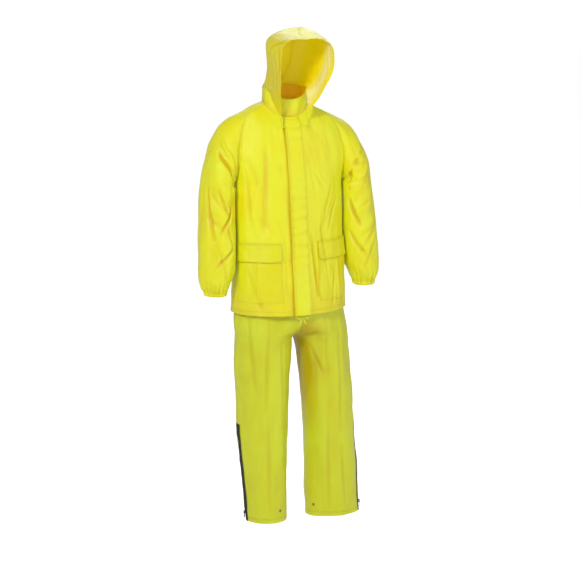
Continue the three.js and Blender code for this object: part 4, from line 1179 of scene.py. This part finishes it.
def cloth_material(name, colour, deep, inside, stitch_rows, painted_sheen_band=False):
    """Coated cloth. stitch_rows holds the edge and the offset of each row of stitches on the piece."""
    material, tree, shader = new_material(name)
    across = measured(tree, "from_side")
    up = measured(tree, "from_low")
    weave = placed(tree, WEAVE, Across=across, Up=up)
    patches = weave.outputs["Patches"]
    patches = math_node(tree, "MULTIPLY_ADD", patches, PATCH_CONTRAST, PATCH_SHIFT, clamp=True)
    face = mix_colour(tree, patches, tinted(deep), tinted(colour))
    # Painted shade: the face colour goes deeper and more orange where the shade measure is high.
    folded = math_node(tree, "MULTIPLY", measured(tree, "folded"), PAINTED_SHADE_STRENGTH, clamp=True)
    face = mix_colour(tree, folded, face, tinted(deep, *FOLD_SHADE))
    height = math_node(tree, "MULTIPLY", weave.outputs["Relief"], RELIEF_HEIGHT)
    height = math_node(tree, "MULTIPLY_ADD", weave.outputs["Crinkle"], CRINKLE_HEIGHT, height)
    seam_painted_shade = 0.0
    for edge, offset in stitch_rows:
        along = "from_low" if edge.endswith("side") else "from_side"
        row = placed(tree, STITCH, From_edge=measured(tree, edge), Along=measured(tree, along), Offset=offset)
        # Painted shade in each stitch row's groove, on the face and, deeper and more orange, on the inside.
        shade = math_node(tree, "MULTIPLY", row.outputs["Groove"], SEAM_STRENGTH)
        face = mix_colour(tree, shade, face, tinted(deep, *SEAM_SHADE))
        face = mix_colour(tree, row.outputs["Thread"], face, tinted(colour, blue=THREAD_PALER))
        seam_painted_shade = math_node(tree, "MAXIMUM", shade, seam_painted_shade)
        height = math_node(tree, "MULTIPLY_ADD", row.outputs["Groove"], GROOVE_HEIGHT, height)
        height = math_node(tree, "MULTIPLY_ADD", row.outputs["Thread"], THREAD_HEIGHT, height)
    within = measured(tree, "inside")
    lining = mix_colour(tree, weave.outputs["Patches"], tinted(inside), tinted(inside, green=0.86))
    lining = mix_colour(tree, seam_painted_shade, lining, tinted(inside, red=0.7, green=0.5))
    # Painted sheen: the inside turns whitish in a band a little way in from the far edge.
    if painted_sheen_band:
        far = math_node(tree, "SUBTRACT", measured(tree, "to_side"), PAINTED_SHEEN_MIDDLE)
        spread = math_node(tree, "DIVIDE", math_node(tree, "ABSOLUTE", far), PAINTED_SHEEN_HALF)
        band = math_node(tree, "SUBTRACT", 1.0, spread, clamp=True)
        lining = mix_colour(tree, math_node(tree, "MULTIPLY", band, PAINTED_SHEEN_STRENGTH), lining, PAINTED_SHEEN_COLOUR)
    link(tree, mix_colour(tree, within, face, lining), shader.inputs["Base Color"])
    # Painted glow: the inside gives off light in its own colour, standing in for light shining through the
    # cloth.
    link(tree, lining, shader.inputs["Emission Color"])
    link(tree, math_node(tree, "MULTIPLY", within, LIGHT_THROUGH), shader.inputs["Emission Strength"])
    add_bump(tree, shader, height, strength=0.75, distance=0.003)
    rough = math_node(tree, "MULTIPLY_ADD", weave.outputs["Patches"], SHINE_CHANGE, SHINE_LEAST)
    link(tree, rough, shader.inputs["Roughness"])
    shader.inputs["Sheen Weight"].default_value = CLOTH_SHEEN
    shader.inputs["Sheen Roughness"].default_value = CLOTH_SHEEN_SPREAD
    shader.inputs["Specular IOR Level"].default_value = CLOTH_SPECULAR
    return material


YELLOW = (0.8, 0.85, 0.02)
YELLOW_DEEP = (0.84, 0.76, 0.004)
YELLOW_INSIDE = (0.92, 0.86, 0.005)
# Painted shade: the collar's inside is deeper and more orange, as shade inside the collar under the hood.
COLLAR_INSIDE_SHADED = (0.96, 0.62, 0.002)
# Painted shade: the pockets and pocket flaps, laid double low on the jacket, a little deeper than the rest.
YELLOW_LAID_IN_SHADE = (0.78, 0.78, 0.01)
YELLOW_LAID_IN_SHADE_DEEP = (0.78, 0.68, 0.003)
OLIVE = (0.66, 0.74, 0.025)
OLIVE_DEEP = (0.64, 0.64, 0.01)
OLIVE_INSIDE = (0.58, 0.56, 0.06)


BARE_METAL = (0.22, 0.21, 0.18, 1)
WORN_ABOVE, WORN_ROUGHER, METAL_SHARE = 0.66, 0.2, 0.55
TAPE_ROUGHNESS, CORD_ROUGHNESS = 0.85, 0.8
BRAID_SCALE, BRAID_UNEVEN = 240.0, 1.5
SNAP_ROUGHER, SNAP_LEAST = 0.3, 0.25
TAPE_DARK, TAPE_PALE = (0.016, 0.017, 0.012, 1), (0.036, 0.037, 0.027, 1)


def metal_material(name, colour, roughness):
    """Dark enamel on cast metal, with worn high spots."""
    material, tree, shader = new_material(name)
    worn = noise_on(tree, scale=260.0, detail=4.0)
    mask = math_node(tree, "GREATER_THAN", worn, WORN_ABOVE)
    link(tree, mix_colour(tree, mask, tinted(colour), BARE_METAL), shader.inputs["Base Color"])
    link(tree, math_node(tree, "MULTIPLY_ADD", worn, WORN_ROUGHER, roughness), shader.inputs["Roughness"])
    shader.inputs["Metallic"].default_value = METAL_SHARE
    return material


def tape_material(name):
    """Woven zip tape: a fine thread relief on nearly black cloth."""
    material, tree, shader = new_material(name)
    across, up = measured(tree, "from_side"), measured(tree, "from_low")
    weave = placed(tree, WEAVE, Across=across, Up=up, Thread=TAPE_THREAD_PITCH)
    link(tree, mix_colour(tree, weave.outputs["Patches"], TAPE_DARK, TAPE_PALE), shader.inputs["Base Color"])
    add_bump(tree, shader, weave.outputs["Relief"], strength=0.5, distance=0.0005)
    shader.inputs["Roughness"].default_value = TAPE_ROUGHNESS
    return material


def cord_material(name, colour):
    """Braided cord: slanting strands in the cord's own colour."""
    material, tree, shader = new_material(name)
    place = tree.nodes.new("ShaderNodeTexCoord")
    braid = tree.nodes.new("ShaderNodeTexWave")
    braid.bands_direction = "DIAGONAL"
    braid.inputs["Scale"].default_value = BRAID_SCALE
    braid.inputs["Distortion"].default_value = BRAID_UNEVEN
    link(tree, place.outputs["Object"], braid.inputs["Vector"])
    dark = tinted(colour, red=0.72, green=0.72, blue=0.72)
    link(tree, mix_colour(tree, braid.outputs["Fac"], dark, tinted(colour)), shader.inputs["Base Color"])
    add_bump(tree, shader, braid.outputs["Fac"], strength=0.6, distance=0.0006)
    shader.inputs["Roughness"].default_value = CORD_ROUGHNESS
    return material


def snap_material(name, colour):
    """Snap cap: a moulded face with scuffs."""
    material, tree, shader = new_material(name)
    scuffs = noise_on(tree, scale=400.0)
    dark = tinted(colour, red=0.6, green=0.6, blue=0.6)
    link(tree, mix_colour(tree, scuffs, dark, tinted(colour)), shader.inputs["Base Color"])
    link(tree, math_node(tree, "MULTIPLY_ADD", scuffs, SNAP_ROUGHER, SNAP_LEAST), shader.inputs["Roughness"])
    return material


# Camera, light and floor
def look_at(thing, point):
    thing.rotation_euler = (Vector(point) - thing.location).to_track_quat("-Z", "Y").to_euler()


VIEW_TURN = 22
VIEW_RISE = 11.5
VIEW_DISTANCE = 9.5
VIEW_AIM = (0.006, -0.04, -0.6)
FOCAL, SENSOR_WIDTH = 159.0, 36.0
FARTHEST_SEEN = 60.0
FRAME_PIXELS = 580
AIM_PIXEL = (290.0, 277.0)


def make_camera():
    data = bpy.data.cameras.new("camera")
    camera = add_object("camera", data)
    turn, rise = math.radians(VIEW_TURN), math.radians(VIEW_RISE)
    away = Vector((-math.sin(turn) * math.cos(rise), -math.cos(turn) * math.cos(rise), math.sin(rise)))
    camera.location = Vector(VIEW_AIM) + away * VIEW_DISTANCE
    look_at(camera, VIEW_AIM)
    data.lens = FOCAL
    data.sensor_width = SENSOR_WIDTH
    data.shift_y = (AIM_PIXEL[1] - FRAME_PIXELS / 2) / FRAME_PIXELS
    data.clip_end = FARTHEST_SEEN
    bpy.context.scene.camera = camera


def area_light(name, place, aim, size, power):
    data = bpy.data.lights.new(name, "AREA")
    data.shape = "RECTANGLE"
    data.size, data.size_y = size
    data.energy = power
    light = add_object(name, data)
    light.location = place
    look_at(light, aim)


FLOOR_BELOW_HEM = 0.09
ROOM_LIGHT = 0.42
FLOOR_GLOW = 0.6
FLOOR_HALF = 14.0
FLOOR_COLOUR, FLOOR_ROUGHNESS = (0.93, 0.93, 0.93, 1), 0.9
LIGHTS = {
    "key": ((-3.0, -3.2, 2.3), (0, 0, -0.8), (0.7, 1.0), 121),
    "fill": ((3.0, -3.6, 0.5), (0, 0, -0.8), (1.0, 1.6), 46),
    "back": ((1.6, 3.0, 2.0), (0, 0, -0.4), (2.0, 2.0), 40),
}


def make_studio():
    world = bpy.data.worlds.new("studio")
    world.use_nodes = True
    tree = world.node_tree
    ray = tree.nodes.new("ShaderNodeLightPath")
    seen = math_node(tree, "MULTIPLY_ADD", ray.outputs["Is Camera Ray"], 1 - ROOM_LIGHT, ROOM_LIGHT)
    tree.nodes["Background"].inputs["Color"].default_value = (1, 1, 1, 1)
    link(tree, seen, tree.nodes["Background"].inputs["Strength"])
    bpy.context.scene.world = world
    bpy.context.scene.view_settings.view_transform = "Standard"
    for name, (place, aim, size, power) in LIGHTS.items():
        area_light(name, place, aim, size, power)
    floor_mesh = bpy.data.meshes.new("floor")
    height = CAD_BOX[0].z - FLOOR_BELOW_HEM
    corners = [(x * FLOOR_HALF, y * FLOOR_HALF, height) for x, y in ((-1, -1), (1, -1), (1, 1), (-1, 1))]
    floor_mesh.from_pydata(corners, [], [(0, 1, 2, 3)])
    floor = add_object("floor", floor_mesh)
    material, floor_tree, shader = new_material("pale floor")
    shader.inputs["Base Color"].default_value = FLOOR_COLOUR
    shader.inputs["Roughness"].default_value = FLOOR_ROUGHNESS
    shader.inputs["Emission Color"].default_value = (1, 1, 1, 1)
    ray = floor_tree.nodes.new("ShaderNodeLightPath")
    glow = math_node(floor_tree, "MULTIPLY", ray.outputs["Is Camera Ray"], FLOOR_GLOW)
    link(floor_tree, glow, shader.inputs["Emission Strength"])
    floor_mesh.materials.append(material)


# Cords
CORD_DIAMETER = 4
CORD_POINTS, KNOT_POINTS, ROUND_STEPS = 40, 97, 4
STRAND = [(12, -145.65, -522), (12.2, -149.5, -523), (12.4, -154, -528.5), (12, -159, -550), (10, -164, -610),
          (7, -168.5, -665), (5.4, -171, -694), (3.2, -171.9, -702.2)]
BOW_KNOT = (0, -173, -708.5)
BOW_LOOP = [(7.4, -173, -705), (14, -175, -703), (21, -177, -709), (24, -180, -718), (22, -183, -726),
            (16, -184, -729), (10, -180, -722), (6.9, -175.3, -712.6)]
BOW_END = [(2.9, -174, -715.8), (3.4, -176, -724), (5, -179, -733), (8, -181, -741), (12, -182, -748)]
HOOD_CORD = [(48.6, -83.5, 9.9), (48, -84.6, 2), (47, -86.5, -8), (47.2, -88.5, -16), (47, -90, -23.6)]
HOOD_KNOT = (47, -90.4, -28.9)
HOOD_LEAN = 4


def mirrored(stops, side, lean):
    return [(side * x + lean, y, z) for x, y, z in stops]


def smooth_route(stops, count):
    """Points on a smooth curve through the stops."""
    stops = np.array(stops, float)
    keys = np.concatenate([[0], np.cumsum(np.linalg.norm(np.diff(stops, axis=0), axis=1))])
    table = table_of(["length", "x", "y", "z"], np.column_stack([keys, stops]))
    row = table_at(table, "length", np.linspace(0, keys[-1], count))
    return grid_of(row["x"], row["y"], row["z"])


def cord_curve(name, route, diameter, material):
    data = bpy.data.curves.new(name, "CURVE")
    data.dimensions = "3D"
    spline = data.splines.new("POLY")
    spline.points.add(len(route) - 1)
    for point, place in zip(spline.points, route):
        point.co = (*(place * MM), 1)
    data.bevel_depth = diameter * MM / 2
    data.bevel_resolution = ROUND_STEPS
    data.use_fill_caps = True
    data.materials.append(material)
    return add_object(name, data)


def add_cord(name, stops, side, cord, replaced, lean=0):
    """A hanging cord through these stops. The cord is its material and its slot; the slot is not used."""
    route = smooth_route(mirrored(stops, side, lean), CORD_POINTS)
    material, slot = cord
    piece = put_on_suit(cord_curve(name, route, CORD_DIAMETER, material), [replaced])


KNOT_CORD = CORD_DIAMETER * 0.47
KNOT_FLATNESS = 0.8


def add_knot(name, centre, radii, degrees, cord, replaced):
    """An overhand knot: a cord wound round itself into a small ball, turned by so many degrees."""
    turn = np.linspace(0, 2 * np.pi, KNOT_POINTS)
    x = (np.sin(turn) + 2 * np.sin(2 * turn)) / 3
    z = (np.cos(turn) - 2 * np.cos(2 * turn)) / 3
    y = -np.sin(3 * turn)
    reach = np.array(radii) - KNOT_CORD
    route = np.column_stack([x * reach[0], y * reach[1] * KNOT_FLATNESS, z * reach[2]])
    tilt = math.radians(degrees)
    spun = np.column_stack([
        route[:, 0] * math.cos(tilt) - route[:, 2] * math.sin(tilt), route[:, 1],
        route[:, 0] * math.sin(tilt) + route[:, 2] * math.cos(tilt),
    ])
    material, slot = cord
    put_on_suit(cord_curve(name, spun + centre, KNOT_CORD * 2, material), [replaced])


# Small hard parts
SHARP_ANGLE = 40
TURNED_FACES = 28


def lathe_object(name, profile, faces, material, place, outward, replaced=()):
    """A turned part: (radius, height) profile about the outward line."""
    turn = np.linspace(0, 2 * np.pi, faces, endpoint=False)
    points = []
    for radius, height in profile:
        points.append(np.column_stack([radius * np.cos(turn), radius * np.sin(turn), np.full(faces, height)]))
    points = np.concatenate(points)
    quads = []
    for ring in range(len(profile) - 1):
        for step in range(faces):
            after = (step + 1) % faces
            low, high = ring * faces, (ring + 1) * faces
            quads.append((low + step, low + after, high + after, high + step))
    quads.append(tuple(range(faces))[::-1])
    quads.append(tuple(range((len(profile) - 1) * faces, len(profile) * faces)))
    turned = Vector(outward).to_track_quat("Z", "Y").to_matrix()
    placed_points = [tuple((turned @ Vector(point) + Vector(place)) * MM) for point in points.tolist()]
    mesh = bpy.data.meshes.new(name)
    mesh.from_pydata(placed_points, [], quads)
    mesh.polygons.foreach_set("use_smooth", np.ones(len(quads), bool))
    mesh.set_sharp_from_angle(angle=math.radians(SHARP_ANGLE))
    mesh.materials.append(material)
    put_on_suit(add_object(name, mesh), replaced)


def nearest_on(panel, place):
    """The panel's point nearest to a place, with its normal."""
    away = np.linalg.norm(panel.points - np.asarray(place, float), axis=-1)
    row, column = np.unravel_index(away.argmin(), away.shape)
    return panel.points[row, column], panel.normals[row, column]


SNAP_CAP = [(5, -0.6), (5, 0.9), (4.6, 1.5), (3.9, 1.7), (3.4, 1.35), (2.6, 1.3), (2.2, 1.5), (0.6, 1.6)]
EYELET = [(3.7, -0.4), (3.7, 0.5), (3.2, 0.9), (2.6, 0.8), (2.1, 0.3), (2.0, -0.3)]


def seat(name, profile, panel, place, material, replaced=()):
    """A turned part set on the panel at its point nearest to the place."""
    point, normal = nearest_on(panel, place)
    lathe_object(name, profile, TURNED_FACES, material, point, normal, replaced)


TOOTH_PITCH = 3.2
TOOTH_WIDE, TOOTH_LONG, TOOTH_HIGH = 3.4, 1.5, 1.5
TOOTH_TOP = 0.8
TOOTH_SHIFT, TOOTH_LIFT = 0.75, 0.7
TEETH_START, TEETH_SPARE = 36, 40
TOOTH_FACES = ((0, 1, 3, 2), (4, 6, 7, 5), (0, 4, 5, 1), (2, 3, 7, 6), (0, 2, 6, 4), (1, 5, 7, 3))


def zip_teeth(name, tape, material):
    """Two rows of moulded teeth that mesh down the middle of the tape."""
    middle = tape.points.shape[1] // 2
    line = tape.points[:, middle]
    out = tape.normals[:, middle]
    lengths = np.concatenate([[0], np.cumsum(np.linalg.norm(np.diff(line, axis=0), axis=1))])
    across = tape.points[:, middle + 1] - tape.points[:, middle - 1]
    across /= np.linalg.norm(across, axis=1, keepdims=True)
    vertices, faces = [], []
    for step in range(int((lengths[-1] - TEETH_SPARE) / TOOTH_PITCH)):
        here = TEETH_START + step * TOOTH_PITCH
        centre, side, normal = (
            np.array([np.interp(here, lengths, course[:, axis]) for axis in range(3)])
            for course in (line, across, out)
        )
        along = np.cross(normal, side)
        centre = centre + side * (TOOTH_SHIFT if step % 2 else -TOOTH_SHIFT) + normal * TOOTH_LIFT
        faces += [tuple(len(vertices) + corner for corner in corners) for corners in TOOTH_FACES]
        for high, wide, long in itertools.product((-1, 1), repeat=3):
            narrow = TOOTH_TOP if high > 0 else 1
            vertices.append(centre + side * wide * TOOTH_WIDE / 2 * narrow
                            + along * long * TOOTH_LONG / 2 * narrow + normal * high * TOOTH_HIGH / 2)
    mesh = bpy.data.meshes.new(name)
    mesh.from_pydata((np.array(vertices) * MM).tolist(), [], faces)
    mesh.materials.append(material)
    put_on_suit(add_object(name, mesh))


# Building the suit
make_camera()
make_studio()

jacket_fronts = {side: front_panel(side, f"front_{word}") for side, word in SIDES}
jacket_back = back_panel()
sleeves = {side: sleeve_panel(side, f"sleeve_{word}") for side, word in SIDES}
cuffs = {side: cuff_panel(side, f"cuff_{word}") for side, word in SIDES}
collar = collar_panel()
hoods = {side: hood_panel(side, f"hood_{word}") for side, word in SIDES}
jacket = [*jacket_fronts.values(), jacket_back, *sleeves.values(), *cuffs.values(), collar, *hoods.values()]
legs = {
    (side, part): leg_panel(side, part, f"leg_{word}_{part}")
    for side, word in SIDES for part in ("front", "back")
}
waistband = waistband_panel()
trousers = [*legs.values(), waistband]


# Heights between which the folds and creases fade out
NECK_FADE, COLLAR_FADE, HIP_FADE = (-90, -20), (105, 130), (-720, -600)


def below_neck(points):
    return 1 - smooth_step(points[..., 2], *NECK_FADE)


def off_collar(points):
    height = points[..., 2]
    return 1 - smooth_step(height, *NECK_FADE) * (1 - smooth_step(height, *COLLAR_FADE))


def below_hips(points):
    return 1 - smooth_step(points[..., 2], *HIP_FADE)


JACKET_DRAPE, TROUSER_DRAPE = 3.2, 4.6
crumple(jacket, JACKET_FOLDS, JACKET_CREASES, below_neck, off_collar, JACKET_DRAPE)
crumple(trousers, TROUSER_FOLDS, TROUSER_CREASES, below_hips, below_hips, TROUSER_DRAPE)
CROWN_ROWS = 12
CROWN_TURNS = 14
INNER_LEG_WIDTH = 75
INNER_LEG_SHADE = {1: 15, -1: 4}


def smooth_crown(hood):
    """Takes the unevenness out of the rows beside the crown seam, along the seam."""
    for _ in range(CROWN_TURNS):
        rows = hood.points[-CROWN_ROWS:]
        between = (rows[:, :-2] + rows[:, 2:]) / 2
        hood.points[-CROWN_ROWS:, 1:-1] = mix(rows[:, 1:-1], between, 0.5)


for hood in hoods.values():
    smooth_crown(hood)
share_normals(jacket)
# Painted shade on the inside of each leg near the crotch, much deeper on the left leg.
near_crotch = (smooth_step(LEG_HEIGHTS, -1240, -900) * (1 - smooth_step(LEG_HEIGHTS, -800, -720)))[:, None]
for (side, part), panel in legs.items():
    from_inner = np.linalg.norm(panel.points - panel.points[:, :1], axis=-1)
    panel.folded += INNER_LEG_SHADE[side] * np.exp(-(from_inner / INNER_LEG_WIDTH) ** 2) * near_crotch
for front in jacket_fronts.values():
    # Painted shade: the jacket fronts grow darker towards the hem.
    front.folded += HEM_SHADE * (1 - smooth_step(front.points[..., 2], -705, -520))
for hood in hoods.values():
    # Painted shade: the hood's wearer's-right half is darker, as the side that lies in shade.
    hood.folded += HOOD_SHADE * smooth_step(-hood.points[..., 0], -20, 60)
# Painted shade on the collar's lower rows, deepest at the neck seam, under the hood.
collar.folded += COLLAR_SHADE * (1 - smooth_step(np.arange(len(collar.points)), 0, 9))[:, None]
# Painted shadow on the right front under the storm flap and along its free edge.
jacket_fronts[-1].folded += FLAP_SHADE * np.exp(-(np.maximum(FRONT_SHARES, 0) / 0.03) ** 2)
storm_flap = storm_flap_panel(jacket_fronts[-1], jacket_fronts[1])
pockets = [pocket_panel(jacket_fronts[side], f"pocket_{word}") for side, word in SIDES]
pocket_flaps = [pocket_flap_panel(jacket_fronts[side], f"pocket_flap_{word}") for side, word in SIDES]
zip_tapes = {
    side: zip_tape_panel(f"zip_tape_{word}", legs[side, "front"], legs[side, "back"], side)
    for side, word in SIDES
}
laid = [storm_flap, *pockets, *pocket_flaps, *zip_tapes.values()]
for panel in laid:
    share_normals([panel])

# Rows of stitches: the edge that each one follows and how far in from it, in metres
HEM_ROWS = [("from_low", 0.013), ("from_low", 0.0165)]
HOOD_ROWS = [("to_side", 0.022), ("from_side", 0.003), ("from_low", 0.004)]
EDGE_ROWS = [("from_low", 0.003), ("to_top", 0.003)]
ROUND_ROWS = [(edge, 0.002) for edge in ("from_side", "to_side", "from_low", "to_top")] + [("to_top", 0.007)]
FLAP_ROWS = [("from_side", 0.003), ("to_side", 0.003), ("from_side", 0.009)]


def jacket_cloth(words, stitch_rows, inside=YELLOW_INSIDE, painted_sheen_band=False):
    return cloth_material(f"jacket cloth {words}", YELLOW, YELLOW_DEEP, inside, stitch_rows, painted_sheen_band)


def trouser_cloth(words, stitch_rows):
    return cloth_material(words, OLIVE, OLIVE_DEEP, OLIVE_INSIDE, stitch_rows)


jacket_hemmed = jacket_cloth("with hem stitching", HEM_ROWS + [("to_side", 0.004)])
jacket_laid = cloth_material(
    "jacket cloth stitched all round", YELLOW_LAID_IN_SHADE, YELLOW_LAID_IN_SHADE_DEEP, YELLOW_INSIDE, ROUND_ROWS,
)
jacket_flap = jacket_cloth("of the storm flap", FLAP_ROWS)
jacket_sleeve = jacket_cloth("of the sleeves", EDGE_ROWS)
jacket_collar = jacket_cloth("of the collar", EDGE_ROWS + FLAP_ROWS[:2], COLLAR_INSIDE_SHADED)
jacket_hood = jacket_cloth("of the hood", HOOD_ROWS)
# Painted sheen inside the hood's left half.
hood_painted_sheen = jacket_cloth("of the hood with a bright lining", HOOD_ROWS, painted_sheen_band=True)
trouser_hemmed = trouser_cloth("trouser cloth", HEM_ROWS + [("to_side", 0.003)])
trouser_waist = trouser_cloth("trouser cloth of the waistband", [("from_low", 0.003), ("to_top", 0.004)])
tape_cloth = tape_material("woven zip tape")
jacket_cord = (cord_material("yellow cord", (0.94, 0.95, 0.03)), "jacket_cord")
trouser_cord = (cord_material("lime cord", (0.93, 0.97, 0.05)), "trouser_cord")
dark_metal = metal_material("dark enamelled metal", (0.035, 0.036, 0.032), 0.3)
dark_snap = snap_material("dark snap", (0.3, 0.2, 0.03))
yellow_snap = snap_material("yellow snap", (0.82, 0.72, 0.03))

CLOTH_OF = {
    "front": jacket_hemmed, "back": jacket_hemmed, "sleeve": jacket_sleeve, "cuff": jacket_sleeve,
    "collar": jacket_collar, "hood_left": hood_painted_sheen, "hood_right": jacket_hood, "storm": jacket_flap,
    "pocket": jacket_laid, "leg": trouser_hemmed, "waistband": trouser_waist, "zip": tape_cloth,
}
TAPE_THICKNESS = 1.0
for panel in jacket + trousers + laid:
    kind = panel.name.split("_")[0]
    material = CLOTH_OF.get(panel.name) or CLOTH_OF[kind]
    thickness = TAPE_THICKNESS if kind == "zip" else CLOTH
    cloth_object(panel, thickness, material)

HOOD_KNOT_RADII, BOW_KNOT_RADII = (6.8, 5.4, 6), (7, 5.6, 7)
HOOD_KNOT_TURN = 20
for side, word in SIDES:
    add_cord(f"hood_cord_{word}_end", HOOD_CORD, side, jacket_cord, f"hood_cord_{word}", HOOD_LEAN)
    add_knot(f"hood_cord_{word}_knot", mirrored([HOOD_KNOT], side, HOOD_LEAN)[0], HOOD_KNOT_RADII,
             HOOD_KNOT_TURN * side, jacket_cord, f"hood_cord_knot_{word}")
    add_cord(f"drawstring_{word}", STRAND, side, trouser_cord, f"bow_strand_{word}")
    add_cord(f"drawstring_loop_{word}", BOW_LOOP, side, trouser_cord, f"bow_loop_{word}")
    add_cord(f"drawstring_end_{word}", BOW_END, side, trouser_cord, f"bow_end_{word}")
    zip_teeth(f"zip_teeth_{word}", zip_tapes[side], dark_metal)
add_knot("drawstring_knot", BOW_KNOT, BOW_KNOT_RADII, 0, trouser_cord, "bow_knot")

HEM_SNAPS = {-1: (-66, -125, -1471.5), 1: (79.5, -91, -1471.5)}
COLLAR_SNAPS = {-1: (-83, -22, 50.5), 1: (83, -21, 58)}
EYELET_PLACE = (12, -146, -522)
for side, word in SIDES[::-1]:
    seat(f"hem_snap_{word}_cap", SNAP_CAP, legs[side, "front"], HEM_SNAPS[side], dark_snap,
         [f"hem_snap_{word}"])
for side, word in SIDES[::-1]:
    seat(f"collar_snap_{word}_cap", SNAP_CAP, collar, COLLAR_SNAPS[side], yellow_snap,
         [f"collar_snap_{word}"])
for side, word in SIDES:
    eyelet_place = mirrored([EYELET_PLACE], side, 0)[0]
    seat(f"drawstring_eyelet_{word}", EYELET, waistband, eyelet_place, dark_metal)
    for part in ("slider", "pull"):
        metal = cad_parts[f"zip_{part}_{word}"].data.materials
        metal.clear()
        metal.append(dark_metal)

# The cut of each piece that shows, in metres: flat width, flat length, area where it isn't a rectangle,
# how it is held, and what it hangs from or lies on.
CUTS = {
    "front_left": (0.31, 0.7, 0.185, "hung", ["sleeve_left"]),
    "front_right": (0.31, 0.7, 0.184, "hung", ["sleeve_right"]),
    "back": (0.66, 0.74, 0.389, "hung", ["sleeve_left", "sleeve_right"]),
    "sleeve_left": (0.5, 0.72, 0.245, "hung", ["front_left", "back"]),
    "sleeve_right": (0.5, 0.72, 0.25, "hung", ["front_right", "back"]),
    "collar": (0.46, 0.066, 0.0275, "stretched", ["front_left", "front_right", "back"]),
    "hood_left": (0.29, 0.34, 0.08, "draped", ["collar"]),
    "hood_right": (0.29, 0.34, 0.083, "draped", ["collar"]),
    "leg_left_front": (0.31, 0.975, 0.272, "hung", ["waistband"]),
    "leg_left_back": (0.33, 0.975, 0.3, "hung", ["waistband"]),
    "leg_right_front": (0.31, 0.975, 0.28, "hung", ["waistband"]),
    "leg_right_back": (0.31, 0.975, 0.281, "hung", ["waistband"]),
    "waistband": (0.9, 0.036, None, "gathered", ["leg_left_front", "leg_right_front"]),
    "storm_flap": (0.067, 0.72, None, "laid", ["front_left", "front_right"]),
}
for _, word in SIDES:
    CUTS |= {
        f"cuff_{word}": (0.33, 0.022, None, "gathered", [f"sleeve_{word}"]),
        f"pocket_{word}": (0.19, 0.19, None, "laid", [f"front_{word}"]),
        f"pocket_flap_{word}": (0.172, 0.07, None, "laid", [f"front_{word}"]),
        f"zip_tape_{word}": (0.03, 0.375, None, "laid", [f"leg_{word}_front"]),
    }
